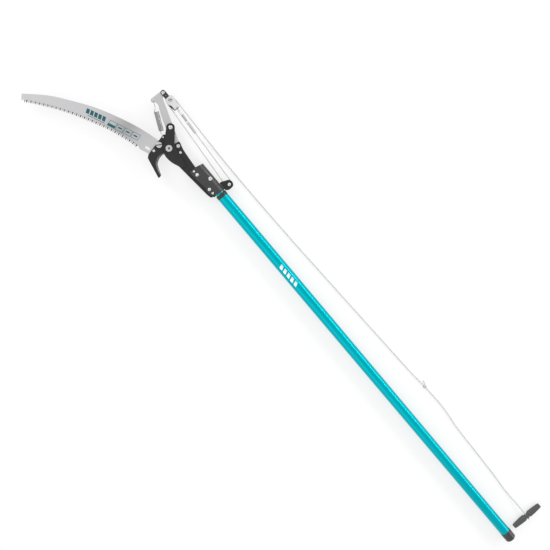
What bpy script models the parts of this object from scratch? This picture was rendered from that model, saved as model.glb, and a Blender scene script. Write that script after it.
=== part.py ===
"""Telescoping pole saw with a rope-pulled pruning head, lying flat on the ground.

Tool coordinates, in millimetres: +X runs down the pole from the head to the foot, X = 0 is the top end of
the outer tube, +Y is the side that the pull rope hangs on, and Z = 0 is the ground. ORIGIN is the tool
point that becomes the scene's origin. Every body of the mechanism is an empty on its joint's axis.
"""

import math

import bmesh
import bpy
from mathutils import Matrix, Vector

MM = 0.001
ORIGIN = Vector((392.5, -52.23, 0.0))
GAP = 0.3  # between pieces that touch

# Pole
AXIS_Z = 15.6
TUBE_R = 15.0
TUBE_BORE_R = 13.8
TUBE_LENGTH = 1273.0
SEAM_X = 43.0
SEAM_DEPTH = 0.6
INNER_R = 12.3
INNER_BORE_R = 11.2
INNER_TOP_X = -103.5
INNER_FOOT_X = 1130.0
COLLAR_LENGTH = 9.5
CAP_R = 15.6
CAP_LENGTH = 29.5

# Layers of the head, as (low z, high z)
PLATE_Z = (28.4, 31.4)
LEAF_Z = (31.7, 33.7)
BLADE_Z = (31.7, 34.7)
SAW_Z = (26.6, 28.1)
LEVER_Z = (25.1, 28.1)
BACK_LEAF_Z = (0.8, 2.8)

# Bracket
BRACKET_X = (-104.0, -12.5)
FOLD_Y = -0.8

# Joints of the head
BLADE_PIVOT = Vector((-183.6, -26.3))
LEVER_PIVOT = Vector((-173.2, -4.1))
TAIL_PIN = Vector((-221.2, 11.3))
CLEVIS = Vector((-298.1, 53.6))
SPRING_ON_LEVER = Vector((-301.0, 22.9))
SPRING_ON_PLATE = Vector((-214.8, -19.5))
TOP_SHEAVE = Vector((-273.7, 55.6))
LOWER_SHEAVE = Vector((-14.0, 33.0))
LEVER_TRAVEL = math.radians(80)
BLADE_TRAVEL = math.radians(60)

# Fasteners
SAW_BOLT = Vector((-206.3, -39.8))
SAW_RIVET = Vector((-203.6, -60.1))
PLATE_RIVET = Vector((-157.1, -10.9))
LEAF_RIVETS = {"leaf_rivet_upper": Vector((-98.5, -15.8)), "leaf_rivet_lower": Vector((-24.9, -15.2))}
CLAMP_BOLTS = {"clamp_bolt_upper": Vector((-86.8, -15.1)), "clamp_bolt_lower": Vector((-37.9, -15.1))}
TUBE_BOLT = Vector((-57.3, 4.5))
TAIL_PIN_R = 3.0
PIN_PLAY = 0.3  # all round a pin in its hole or slot

# Rope and blocks
ROPE_R = 1.6
TOP_ROPE_R = 10.8  # from the sheave's axis to the middle of the rope
LOWER_ROPE_R = 8.9
TOP_PLANE_Z = 26.6
LOWER_PLANE_Z = 16.5
BECKET = Vector((-251.0, 56.0))
SHACKLE_RIVET = Vector((-288.5, 54.0))

# Return spring
SPRING_Z = 30.0
SPRING_R = 5.6
SPRING_WIRE_R = 0.9
COIL_FROM, COIL_TO = 16.0, 63.0
COIL_TURNS = 13

# T-handle
HANDLE = Vector((1285.6, 77.9, 9.5))
HANDLE_LENGTH = 98.5
HANDLE_BORE_R = 2.4

# Route of the pull rope, from the top sheave to the T-handle
PULL_ROUTE = [
    (-273.2, 66.4, 26.6), (-255.0, 66.0, 26.3), (-230.0, 65.5, 24.9), (-200.0, 64.9, 20.9),
    (-170.0, 64.3, 14.4), (-143.0, 63.8, 7.6), (-118.0, 63.4, 3.1), (-92.0, 63.0, 1.75),
    (-40.0, 62.6, 1.7), (60.0, 63.3, 1.7), (160.0, 65.3, 1.7), (250.0, 67.7, 1.7),
    (400.0, 73.3, 1.7), (560.0, 79.5, 1.7), (706.0, 85.1, 1.7), (775.0, 90.0, 1.7),
    (830.0, 92.3, 1.7), (874.0, 91.6, 1.7), (937.0, 86.0, 1.7), (1005.0, 84.2, 1.7),
    (1065.0, 82.6, 1.7), (1125.0, 80.8, 1.7), (1176.0, 77.6, 1.75), (1208.0, 77.3, 2.3),
    (1232.0, 77.8, 4.4), (1254.0, 77.9, 7.6), (1270.0, 77.9, 9.3), (1281.5, 77.9, 9.5),
]

ROUND = 28  # facets round a large turned piece
ROUND_SMALL = 16
BODIES = {}


# ---------------------------------------------------------------- scene, bodies and materials

def clear_scene():
    for thing in list(bpy.data.objects):
        bpy.data.objects.remove(thing, do_unlink=True)


def material(name, colour, roughness, metallic=0.0):
    made = bpy.data.materials.new(name)
    made.use_nodes = True
    shader = made.node_tree.nodes["Principled BSDF"]
    shader.inputs["Base Color"].default_value = (*colour, 1.0)
    shader.inputs["Roughness"].default_value = roughness
    shader.inputs["Metallic"].default_value = metallic
    made.diffuse_color = (*colour, 1.0)
    return made


def body(name, pivot=(0.0, 0.0, 0.0), parent=None):
    """An empty at the body's joint; everything on the body is parented to it."""
    empty = bpy.data.objects.new("body_" + name, None)
    bpy.context.collection.objects.link(empty)
    pivot = Vector(pivot)
    if parent:
        empty.parent = BODIES[parent][0]
        empty.location = (pivot - BODIES[parent][1]) * MM
    else:
        empty.location = (pivot - ORIGIN) * MM
    BODIES[name] = (empty, pivot)


def place(name, bm, on, finish, sharp=35):
    """Makes a bmesh in tool millimetres into an object on a body, smooth but for its sharp edges."""
    empty, pivot = BODIES[on]
    bmesh.ops.recalc_face_normals(bm, faces=bm.faces)
    if bm.calc_volume(signed=True) < 0:
        bmesh.ops.reverse_faces(bm, faces=bm.faces)
    bm.transform(Matrix.Scale(MM, 4) @ Matrix.Translation(-pivot))
    mesh = bpy.data.meshes.new(name)
    bm.to_mesh(mesh)
    bm.free()
    mesh.shade_smooth()
    mesh.set_sharp_from_angle(angle=math.radians(sharp))
    made = bpy.data.objects.new(name, mesh)
    bpy.context.collection.objects.link(made)
    made.parent = empty
    if finish:
        mesh.materials.append(finish)
    return made


def cut(target, cutter_bm, on):
    """Subtracts a bmesh in tool millimetres, which may hold several tools, from an object."""
    cutter = place(target.name + "_cutter", cutter_bm, on, None)
    cutter.hide_render = True
    cutter.display_type = "WIRE"
    boolean = target.modifiers.new("Cut", "BOOLEAN")
    boolean.operation = "DIFFERENCE"
    boolean.object = cutter
    return target


# ---------------------------------------------------------------- outlines and solids

def flat(v, z=0.0):
    return Vector((v[0], v[1], z))


def rounded(corners, step=28):
    """A closed outline from (x, y, radius) corners, each rounded with an arc of that radius."""
    outline = []
    count = len(corners)
    for i, (x, y, radius) in enumerate(corners):
        here = Vector((x, y))
        back = (Vector(corners[i - 1][:2]) - here).normalized()
        ahead = (Vector(corners[(i + 1) % count][:2]) - here).normalized()
        half = back.angle(ahead) / 2
        if radius <= 0 or half > math.radians(89):
            outline.append(here)
            continue
        centre = here + (back + ahead).normalized() * radius / math.sin(half)
        start = here + back * radius / math.tan(half) - centre
        turn = math.pi - 2 * half
        if start.x * back.y - start.y * back.x > 0:
            turn = -turn
        parts = max(2, math.ceil(abs(math.degrees(turn)) / step))
        for k in range(parts + 1):
            outline.append(centre + Matrix.Rotation(turn * k / parts, 2) @ start)
    return outline


def curve_through(points, per_span=4):
    """Points along a smooth Catmull-Rom curve through the given ones, ends included."""
    points = [Vector(p) for p in points]
    ends = [2 * points[0] - points[1]] + points + [2 * points[-1] - points[-2]]
    smooth = []
    for a, b, c, d in zip(ends, ends[1:], ends[2:], ends[3:]):
        for k in range(per_span):
            t = k / per_span
            smooth.append(
                0.5 * (2 * b + (c - a) * t + (2 * a - 5 * b + 4 * c - d) * t ** 2
                       + (3 * b - a - 3 * c + d) * t ** 3))
    return smooth + [points[-1]]


def spaced(points, spacing):
    """The same route with a point about every spacing millimetres."""
    lengths = [0.0]
    for a, b in zip(points, points[1:]):
        lengths.append(lengths[-1] + (b - a).length)
    parts = max(1, round(lengths[-1] / spacing))
    even, at = [], 0
    for k in range(parts + 1):
        want = lengths[-1] * k / parts
        while at < len(points) - 2 and lengths[at + 1] < want:
            at += 1
        share = (want - lengths[at]) / (lengths[at + 1] - lengths[at])
        even.append(points[at].lerp(points[at + 1], share))
    return even


def prism(outline, low, high, bm=None):
    """A flat plate of that outline between two heights."""
    bm = bm or bmesh.new()
    base = bm.faces.new([bm.verts.new(flat(p, low)) for p in outline])
    grown = bmesh.ops.extrude_face_region(bm, geom=[base])["geom"]
    lifted = [g for g in grown if isinstance(g, bmesh.types.BMVert)]
    bmesh.ops.translate(bm, verts=lifted, vec=(0, 0, high - low))
    return bm


def circle(centre, radius, count=ROUND_SMALL):
    turns = [2 * math.pi * k / count for k in range(count)]
    return [Vector((centre[0] + radius * math.cos(t), centre[1] + radius * math.sin(t))) for t in turns]


def drills(holes):
    """Round cutters along Z, one for each (centre, radius, low, high)."""
    bm = bmesh.new()
    for centre, radius, low, high in holes:
        prism(circle(centre, radius), low, high, bm)
    return bm


def turned(profile, steps=ROUND, hollow=False, where=Matrix()):
    """A turned solid from (radius, height) points about the local Z axis, then moved by a matrix."""
    bm = bmesh.new()
    verts = [bm.verts.new((r, 0, h)) for r, h in profile]
    pairs = list(zip(verts, verts[1:]))
    if hollow:
        pairs.append((verts[-1], verts[0]))
    edges = [bm.edges.new(pair) for pair in pairs]
    bmesh.ops.spin(bm, geom=verts + edges, axis=(0, 0, 1), cent=(0, 0, 0), angle=2 * math.pi,
                   steps=steps, use_merge=True)
    bmesh.ops.remove_doubles(bm, verts=bm.verts, dist=1e-4)
    bmesh.ops.recalc_face_normals(bm, faces=bm.faces)
    bm.transform(where)
    return bm


ALONG_POLE = Matrix.Translation((0, 0, AXIS_Z)) @ Matrix.Rotation(math.radians(90), 4, "Y")
ALONG_Y = Matrix.Rotation(math.radians(-90), 4, "X")


def upright(centre, z=0.0):
    return Matrix.Translation(flat(centre, z))


def dome(radius, height, low):
    """Profile of a low domed head from its rim to its top on the axis."""
    steps = 2
    return [
        (radius * math.cos(math.pi / 2 * k / steps), low + height * math.sin(math.pi / 2 * k / steps))
        for k in range(steps)
    ] + [(0.0, low + height)]


def rivet(centre, shank_r, low, seat, head_r, head_h, tail_r=0.0, tail_low=0.0):
    """A domed pin along Z: its shank from low to seat, its head above, and an optional head below."""
    profile = [(0.0, low)]
    if tail_r:
        profile = [(0.0, tail_low), (tail_r, tail_low), (tail_r, low)]
    profile += [(shank_r, low), (shank_r, seat)]
    return turned(profile + dome(head_r, head_h, seat), ROUND_SMALL, where=upright(centre))


def wire(name, points, radius, on, finish, sides=0):
    """A round wire or rope along the points, as a curve with filled caps."""
    empty, pivot = BODIES[on]
    curve = bpy.data.curves.new(name, "CURVE")
    curve.dimensions = "3D"
    curve.bevel_depth = radius * MM
    curve.bevel_resolution = sides
    curve.use_fill_caps = True
    spline = curve.splines.new("POLY")
    spline.points.add(len(points) - 1)
    for slot, point in zip(spline.points, points):
        slot.co = (*((Vector(point) - pivot) * MM), 1.0)
    curve.materials.append(finish)
    made = bpy.data.objects.new(name, curve)
    bpy.context.collection.objects.link(made)
    made.parent = empty
    return made


# ---------------------------------------------------------------- the pole

def build_pole(teal, black, grey, nylon):
    half = SEAM_DEPTH * 2
    outer = [
        (TUBE_BORE_R, 0.0), (TUBE_R, 0.0), (TUBE_R, SEAM_X - half), (TUBE_R - SEAM_DEPTH, SEAM_X),
        (TUBE_R, SEAM_X + half), (TUBE_R, TUBE_LENGTH), (TUBE_BORE_R, TUBE_LENGTH),
    ]
    place("outer_tube", turned(outer, hollow=True, where=ALONG_POLE), "pole", teal)

    bore = INNER_R + GAP
    bush_r = TUBE_BORE_R - GAP
    collar = [
        (bore, -COLLAR_LENGTH - GAP), (TUBE_R - 0.5, -COLLAR_LENGTH - GAP),
        (TUBE_R + 0.3, 1.2 - COLLAR_LENGTH), (TUBE_R + 0.3, -GAP), (bush_r, -GAP),
        (bush_r, SEAM_X - 4), (bore, SEAM_X - 4),
    ]
    place("top_collar", turned(collar, hollow=True, where=ALONG_POLE), "pole", black)

    spigot_r = TUBE_BORE_R - GAP
    foot = TUBE_LENGTH + GAP
    cap = [
        (0.0, TUBE_LENGTH - 18), (spigot_r - 1, TUBE_LENGTH - 18), (spigot_r, TUBE_LENGTH - 16),
        (spigot_r, foot), (CAP_R, foot), (CAP_R, foot + CAP_LENGTH - 4),
        (CAP_R - 1.2, foot + CAP_LENGTH - 1.2), (CAP_R - 4, foot + CAP_LENGTH), (0.0, foot + CAP_LENGTH),
    ]
    place("end_cap", turned(cap, where=ALONG_POLE), "pole", grey)

    inner = [(INNER_BORE_R, INNER_TOP_X), (INNER_R, INNER_TOP_X), (INNER_R, INNER_FOOT_X),
             (INNER_BORE_R, INNER_FOOT_X)]
    tube = place("inner_tube", turned(inner, hollow=True, where=ALONG_POLE), "head", teal)
    cut(tube, drills([(TUBE_BOLT, 2.5 + PIN_PLAY, -5, 40)]), "head")

    build_lock(nylon, grey)


def build_lock(nylon, grey):
    """The twist lock inside: a plug in the inner tube's foot, with a stem that a split collet turns on."""
    foot = INNER_FOOT_X
    stem_r, knob_r = 5.0, 9.0
    plug = [
        (0.0, foot - 22), (INNER_BORE_R - GAP, foot - 22), (INNER_BORE_R - GAP, foot + GAP),
        (INNER_R, foot + GAP), (INNER_R, foot + 5), (stem_r, foot + 5), (stem_r, foot + 42),
        (knob_r, foot + 42), (knob_r, foot + 46), (0.0, foot + 46),
    ]
    place("lock_plug", turned(plug, where=ALONG_POLE), "head", grey)

    bore, outside = stem_r + GAP, TUBE_BORE_R - GAP
    start, end = foot + 5 + GAP, foot + 42 - GAP
    collet = [(bore, start), (outside - 1.5, start), (outside, start + 3), (outside, end - 3),
              (outside - 1.5, end), (bore, end)]
    ring = place("lock_collet", turned(collet, hollow=True, where=ALONG_POLE), "lock", nylon)
    slit = [(start - 2, -1.5), (end + 2, -1.5), (end + 2, 1.5), (start - 2, 1.5)]
    cut(ring, prism(slit, AXIS_Z, AXIS_Z + 20), "lock")


# ---------------------------------------------------------------- bracket and plates

def build_bracket(black):
    """A steel sheet folded round the pole's top: one leaf in front of the hook plate, one behind."""
    inner_r = (LEAF_Z[0] - BACK_LEAF_Z[1]) / 2
    outer_r = (LEAF_Z[1] - BACK_LEAF_Z[0]) / 2
    middle = (LEAF_Z[0] + BACK_LEAF_Z[1]) / 2
    arc = [math.radians(90 - 15 * k) for k in range(13)]
    outside = [(FOLD_Y + outer_r * math.cos(t), middle + outer_r * math.sin(t)) for t in arc]
    inside = [(FOLD_Y + inner_r * math.cos(t), middle + inner_r * math.sin(t)) for t in reversed(arc)]
    profile = [(-27.0, LEAF_Z[1])] + outside + [(-19.5, BACK_LEAF_Z[0]), (-19.5, BACK_LEAF_Z[1])]
    profile += inside + [(-27.0, LEAF_Z[0])]
    bm = bmesh.new()
    end = bm.faces.new([bm.verts.new((BRACKET_X[0], y, z)) for y, z in profile])
    grown = bmesh.ops.extrude_face_region(bm, geom=[end])["geom"]
    moved = [g for g in grown if isinstance(g, bmesh.types.BMVert)]
    bmesh.ops.translate(bm, verts=moved, vec=(BRACKET_X[1] - BRACKET_X[0], 0, 0))
    bracket = place("tube_bracket", bm, "head", black)
    below_leaf = LEAF_Z[0] - 1.0
    above_leaf = LEAF_Z[1] + 1.0
    trim = rounded([
        (-112, -26.4, 0), (-88, -25.6, 8), (-47, -20.4, 5), (-40, -23.5, 5), (-25, -23.0, 6),
        (-17, -15.0, 4), (-12.6, 2.0, 0), (-8, 2.0, 0), (-8, -40, 0), (-112, -40, 0),
    ])
    cut(bracket, prism(trim, below_leaf, above_leaf), "head")
    low, high = -2.0, above_leaf
    holes = [(at, 2.0 + PIN_PLAY, low, high) for at in CLAMP_BOLTS.values()]
    holes += [(at, 1.8 + PIN_PLAY, below_leaf, high) for at in LEAF_RIVETS.values()]
    holes.append((TUBE_BOLT, 2.5 + PIN_PLAY, low, high + 2))
    cut(bracket, drills(holes), "head")


def build_hook_plate(black):
    corners = [
        (-220.6, -9.8, 5.5), (-205.0, -77.5, 13), (-199.0, -84.0, 4), (-142.6, -96.6, 2.2),
        (-144.2, -86.2, 4.0), (-160.9, -80.2, 14), (-173.2, -74.0, 10), (-180.0, -62.0, 14),
        (-182.2, -47.0, 3.2), (-172.5, -43.8, 6), (-151.0, -43.2, 20), (-132.3, -37.0, 16),
        (-31.1, -28.9, 10), (-18.0, -26.0, 3), (-15.4, -11.0, 2), (-15.4, -6.0, 1.5), (-101.0, -6.0, 3),
        (-130.0, -3.4, 20), (-158.0, -0.4, 20), (-180.4, 6.2, 3.5), (-184.4, -12.6, 9),
    ]
    plate = place("hook_plate", prism(rounded(corners), *PLATE_Z), "head", black)
    low, high = PLATE_Z[0] - 1, PLATE_Z[1] + 1
    holes = [(BLADE_PIVOT, 4.0 + PIN_PLAY, low, high), (LEVER_PIVOT, 3.0 + PIN_PLAY, low, high),
             (PLATE_RIVET, 2.0 + PIN_PLAY, low, high), (SAW_BOLT, 3.5 + PIN_PLAY, low, high),
             (SAW_RIVET, 2.0 + PIN_PLAY, low, high), (SPRING_ON_PLATE, 2.0, low, high)]
    holes += [(at, 2.0 + PIN_PLAY, low, high) for at in CLAMP_BOLTS.values()]
    holes += [(at, 1.8 + PIN_PLAY, low, high) for at in LEAF_RIVETS.values()]
    cut(plate, drills(holes), "head")
    cut(plate, drills([(LEVER_PIVOT, 5.0 + PIN_PLAY, PLATE_Z[1] - 1.4, high)]), "head")
    plate.modifiers[-1].name = "Sink"


def saw_edges():
    """The back of the saw from its tip to its heel, and its toothed edge from heel to tip."""
    back = curve_through([(-517.8, -218.0), (-473.0, -171.0), (-426.0, -134.3), (-375.8, -100.2),
                          (-319.6, -71.0), (-270.4, -50.2), (-220.6, -34.5)], 3)
    line = curve_through([(-239.0, -87.0), (-260.2, -92.3), (-311.4, -110.2), (-357.6, -132.3),
                          (-402.4, -156.6), (-442.4, -182.5), (-481.1, -211.6), (-504.0, -231.6)], 4)
    return back, line


def toothed(line, pitch, depth):
    """Triangular teeth whose tips stand on the line; gullets are cut to its right, into the blade."""
    tips = spaced(line, pitch)
    points = []
    for a, b in zip(tips, tips[1:]):
        along = (b - a).normalized()
        inward = Vector((along.y, -along.x))
        points += [a, a.lerp(b, 0.42) + inward * depth]
    return points + [tips[-1]]


def build_saw(steel):
    back, line = saw_edges()
    tang = rounded([(-220.6, -34.5, 0), (-193.0, -30.5, 9), (-191.0, -71.0, 8), (-208.5, -75.8, 4),
                    (-229.0, -84.2, 6), (-239.0, -87.0, 0)])[1:-1]
    outline = back + tang + toothed(line, 5.0, 4.2)
    saw = place("saw_blade", prism(outline, *SAW_Z), "head", steel)
    low, high = SAW_Z[0] - 1, SAW_Z[1] + 1
    holes = [(SAW_BOLT, 3.5 + PIN_PLAY, low, high), (SAW_RIVET, 2.0 + PIN_PLAY, low, high)]
    cut(saw, drills(holes), "head")
    across = Matrix.Rotation(math.radians(17), 2)
    box = [(-6.5, -3.2), (6.5, -3.2), (6.5, 3.2), (-6.5, 3.2)]
    cut(saw, prism([Vector((-218.8, -67.8)) + across @ Vector(p) for p in box], low, high), "head")
    saw.modifiers[-1].name = "Slot"


def build_cutting_blade(black):
    """The pruning blade: a boss on the pivot, a tail to the pin, and a bellied edge."""
    to_tail = (TAIL_PIN - BLADE_PIVOT).normalized()
    side = Vector((-to_tail.y, to_tail.x))
    end_r, root_half = 10.3, 13.2
    end = TAIL_PIN + to_tail * end_r
    root = BLADE_PIVOT + to_tail * 12
    corners = [
        (*(end + side * end_r), end_r), (*(root + side * root_half), 6),
        (-196.0, -37.0, 12), (-174.5, -46.8, 2.5), (-163.9, -46.6, 18), (-151.0, -44.4, 20),
        (-135.0, -38.2, 20), (-117.6, -22.4, 1.0), (-138.0, -17.6, 30), (-166.0, -14.6, 10),
        (*(root - side * root_half), 12), (*(end - side * end_r), end_r),
    ]
    blade = place("cutting_blade", prism(rounded(corners), *BLADE_Z), "blade", black)
    low, high = BLADE_Z[0] - 1, BLADE_Z[1] + 1
    holes = [(BLADE_PIVOT, 4.0 + PIN_PLAY, low, high), (TAIL_PIN, TAIL_PIN_R + PIN_PLAY, low, high)]
    cut(blade, drills(holes), "blade")


def slot_outline(half, count=10):
    """The slot that the tail pin runs in, so that the blade turns in proportion to the lever."""
    arm = TAIL_PIN - BLADE_PIVOT
    path = []
    for k in range(count + 1):
        share = k / count
        pin = BLADE_PIVOT + Matrix.Rotation(-BLADE_TRAVEL * share, 2) @ arm
        path.append(LEVER_PIVOT + Matrix.Rotation(LEVER_TRAVEL * share, 2) @ (pin - LEVER_PIVOT))
    outline = []
    for row in (path, path[::-1]):
        for a, b in zip(row, row[1:]):
            across = (b - a).normalized().orthogonal() * half
            outline.append((a + b) / 2 + across)
        across = (row[-1] - row[-2]).normalized().orthogonal() * half
        outline += [row[-1] + Matrix.Rotation(-math.pi * k / 6, 2) @ across for k in range(7)]
    return outline


def build_lever(steel):
    """The lever, with the curved slot that the blade's tail pin slides in."""
    corners = [
        (-304.6, 60.2, 6.3), (-291.8, 60.2, 6.3), (-291.6, 44.9, 4), (-183.0, 5.2, 12), (-166.5, 0.6, 5),
        (-163.0, -14.0, 8), (-186.0, -14.6, 12), (-262.0, 14.0, 30), (-283.0, 24.0, 9),
        (-294.0, 24.0, 5), (-296.5, 16.2, 3), (-306.8, 15.8, 5.5),
    ]
    lever = place("lever_arm", prism(rounded(corners), *LEVER_Z), "lever", steel)
    low, high = LEVER_Z[0] - 1, LEVER_Z[1] + 1
    slot = slot_outline(TAIL_PIN_R + PIN_PLAY + 0.1)
    cut(lever, prism(slot, low, high), "lever")
    lever.modifiers[-1].name = "Slot"
    holes = [(LEVER_PIVOT, 3.0 + PIN_PLAY, low, high), (CLEVIS, 2.5 + PIN_PLAY, low, high),
             (SPRING_ON_LEVER, 2.0, low, high)]
    cut(lever, drills(holes), "lever")


# ---------------------------------------------------------------- fasteners

def build_nut(name, centre, corner_r, shank_r, low, high, finish):
    nut = place(name, prism(circle(centre, corner_r, 6), low, high), "head", finish)
    cut(nut, drills([(centre, shank_r + GAP, low - 1, high + 1)]), "head")


def build_fasteners(bright, zinc):
    back = LEVER_Z[0]
    bolt = [(0.0, 20.5), (4.0, 20.5), (4.0, BLADE_Z[1] + GAP), (8.7, BLADE_Z[1] + GAP),
            (8.7, BLADE_Z[1] + 2.6), (7.6, BLADE_Z[1] + 3.4), (0.0, BLADE_Z[1] + 3.4)]
    place("pivot_bolt", turned(bolt, ROUND, where=upright(BLADE_PIVOT)), "head", bright)
    build_nut("pivot_nut", BLADE_PIVOT, 7.5, 4.0, 22.0, PLATE_Z[0] - GAP, zinc)

    sink = PLATE_Z[1] - 1.4 + GAP
    flush = [(0.0, 22.6), (6.5, 22.6), (6.5, back - GAP), (3.0, back - GAP), (3.0, sink), (5.0, sink),
             (5.0, PLATE_Z[1] - 0.1), (0.0, PLATE_Z[1] - 0.1)]
    place("lever_rivet", turned(flush, ROUND_SMALL, where=upright(LEVER_PIVOT)), "head", bright)

    front = PLATE_Z[1] + GAP
    behind = PLATE_Z[0] - GAP
    place("plate_rivet", rivet(PLATE_RIVET, 2.0, behind, front, 3.4, 1.6, 3.4, behind - 1.4), "head", bright)
    under_saw = SAW_Z[0] - GAP
    low_head = under_saw - 1.4
    place("saw_rivet", rivet(SAW_RIVET, 2.0, under_saw, front, 3.3, 1.6, 3.4, low_head), "head", bright)

    saw_bolt = [(0.0, 19.5), (3.5, 19.5), (3.5, front), (8.0, front), (8.0, front + 2.6),
                (7.0, front + 3.4), (0.0, front + 3.4)]
    place("saw_bolt", turned(saw_bolt, ROUND_SMALL + 4, where=upright(SAW_BOLT)), "head", bright)
    build_nut("saw_nut", SAW_BOLT, 6.6, 3.5, 21.4, under_saw, zinc)

    on_leaf = LEAF_Z[1] + GAP
    for name, at in LEAF_RIVETS.items():
        place(name, rivet(at, 1.8, behind, on_leaf, 3.0, 1.5), "head", bright)
    for name, at in CLAMP_BOLTS.items():
        place(name, rivet(at, 2.0, BACK_LEAF_Z[0] + 0.2, on_leaf, 4.6, 2.4), "head", bright)
    place("tube_bolt", rivet(TUBE_BOLT, 2.5, BACK_LEAF_Z[0] + 0.2, on_leaf, 5.4, 2.8), "head", bright)

    place("tail_rivet", rivet(TAIL_PIN, TAIL_PIN_R, back - GAP, BLADE_Z[1] + GAP, 5.2, 1.8, 5.2, back - 1.8),
          "blade", bright)
    low_ear, high_ear = TOP_PLANE_Z - 3.0, TOP_PLANE_Z + 3.0
    place("clevis_pin", rivet(CLEVIS, 2.5, low_ear - GAP, high_ear + GAP, 4.6, 1.4, 4.6, low_ear - 1.6),
          "lever", bright)


# ---------------------------------------------------------------- blocks and sheaves

def sheave(rope_r, half_width, bore_r):
    """Profile of a grooved wheel, from its bore outwards."""
    flange_r = rope_r + 0.8
    floor_r = rope_r - ROPE_R - 0.4
    lip = half_width - 0.4
    return [
        (bore_r, -half_width), (flange_r, -half_width), (flange_r, -lip), (floor_r + 0.7, -1.75),
        (floor_r, -1.0), (floor_r, 1.0), (floor_r + 0.7, 1.75), (flange_r, lip), (flange_r, half_width),
        (bore_r, half_width),
    ]


def build_top_block(white, black, bright):
    low, high = TOP_PLANE_Z - 3.0, TOP_PLANE_Z + 3.0
    body_start = CLEVIS.x + 7.4
    body_end = TOP_SHEAVE.x - TOP_ROPE_R - ROPE_R - GAP
    ears = rounded([(CLEVIS.x - 5.6, CLEVIS.y - 5.4, 5.2), (body_end, CLEVIS.y - 5.4, 1),
                    (body_end, CLEVIS.y + 6.2, 1), (CLEVIS.x - 5.6, CLEVIS.y + 6.2, 5.2)])
    shackle = place("shackle", prism(ears, low, high), "block", black)
    mouth = [(CLEVIS.x - 9, CLEVIS.y - 9), (body_start, CLEVIS.y - 9), (body_start, CLEVIS.y + 9),
             (CLEVIS.x - 9, CLEVIS.y + 9)]
    cut(shackle, prism(mouth, LEVER_Z[0] - GAP, LEVER_Z[1] + GAP), "block").modifiers[-1].name = "Mouth"
    cut(shackle, drills([(CLEVIS, 2.5 + PIN_PLAY, low - 1, high + 1),
                         (SHACKLE_RIVET, 0.8 + PIN_PLAY, low - 1, high + 1)]), "block")

    x, y = TOP_SHEAVE
    cheek = rounded([
        (x - 17.2, y - 6.2, 2), (x - 9.5, y - 10.8, 7), (x + 8.0, y - 10.2, 9), (x + 26.5, y - 6.6, 1.2),
        (x + 26.5, y + 7.4, 1.2), (x + 8.0, y + 11.2, 9), (x - 9.5, y + 11.2, 7), (x - 17.2, y + 3.0, 2),
    ])
    plates = {
        "block_cheek_back": (low - GAP - 1.6, low - GAP),
        "block_cheek_front": (high + GAP, high + GAP + 1.6),
    }
    for name, (bottom, top) in plates.items():
        plate = place(name, prism(cheek, bottom, top), "block", white)
        cut(plate, drills([(TOP_SHEAVE, 3.0 + PIN_PLAY, bottom - 1, top + 1),
                           (BECKET, 1.6 + PIN_PLAY, bottom - 1, top + 1),
                           (SHACKLE_RIVET, 0.8 + PIN_PLAY, bottom - 1, top + 1)]), "block")
    outer_low = plates["block_cheek_back"][0] - GAP
    outer_high = plates["block_cheek_front"][1] + GAP
    screw = [(0.0, outer_low - 1.6), (4.6, outer_low - 1.6), (4.6, outer_low), (3.0, outer_low),
             (3.0, outer_high), (5.4, outer_high), (5.4, outer_high + 1.4), (4.6, outer_high + 2.0),
             (0.0, outer_high + 2.0)]
    place("block_screw", turned(screw, ROUND_SMALL, where=upright(TOP_SHEAVE)), "block", bright)
    place("becket_pin", rivet(BECKET, 1.6, outer_low, outer_high, 2.6, 0.8, 2.6, outer_low - 0.8),
          "block", bright)
    place("shackle_rivet", rivet(SHACKLE_RIVET, 0.8, outer_low, outer_high, 1.7, 0.7, 1.7, outer_low - 0.7),
          "block", bright)
    place("top_sheave", turned(sheave(TOP_ROPE_R, 2.7, 3.0 + GAP), ROUND, hollow=True,
                               where=upright(TOP_SHEAVE, TOP_PLANE_Z)), "top_sheave", white)


def build_lower_sheave(black, white, bright):
    x, y = LOWER_SHEAVE
    low, high = LOWER_PLANE_Z - 2.7 - GAP, LOWER_PLANE_Z + 2.7 + GAP
    thick = 1.9
    foot_y = FOLD_Y + (LEAF_Z[1] - BACK_LEAF_Z[0]) / 2 + GAP
    side = rounded([
        (-32.4, foot_y, 0.8), (-8.4, foot_y, 0.8), (x + 10.6, y - 9.5, 6), (x + 10.6, y + 10.6, 10.4),
        (x - 8.6, y + 10.6, 10.4), (-32.4, foot_y + 5.0, 2),
    ])
    ear = place("sheave_ear", prism(side, low - thick, high + thick), "head", black)
    gap_for_sheave = [(-45, foot_y + 2.2), (20, foot_y + 2.2), (20, y + 20), (-45, y + 20)]
    cut(ear, prism(gap_for_sheave, low, high), "head").modifiers[-1].name = "Mouth"
    cut(ear, drills([(LOWER_SHEAVE, 2.5 + PIN_PLAY, low - 5, high + 5)]), "head")
    axle_low, axle_high = low - thick - GAP, high + thick + GAP
    place("lower_axle", rivet(LOWER_SHEAVE, 2.5, axle_low, axle_high, 4.4, 1.8, 4.4, axle_low - 1.4),
          "head", bright)
    place("lower_sheave", turned(sheave(LOWER_ROPE_R, 2.5, 2.5 + GAP), ROUND, hollow=True,
                                 where=upright(LOWER_SHEAVE, LOWER_PLANE_Z)), "lower_sheave", white)


# ---------------------------------------------------------------- return spring

def spring_frame():
    """Matrix from spring coordinates (x along the spring from the plate, z up) to tool coordinates."""
    along = SPRING_ON_LEVER - SPRING_ON_PLATE
    turn = Matrix.Rotation(math.atan2(along.y, along.x), 4, "Z")
    return Matrix.Translation(flat(SPRING_ON_PLATE, SPRING_Z)) @ turn, along.length


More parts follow.
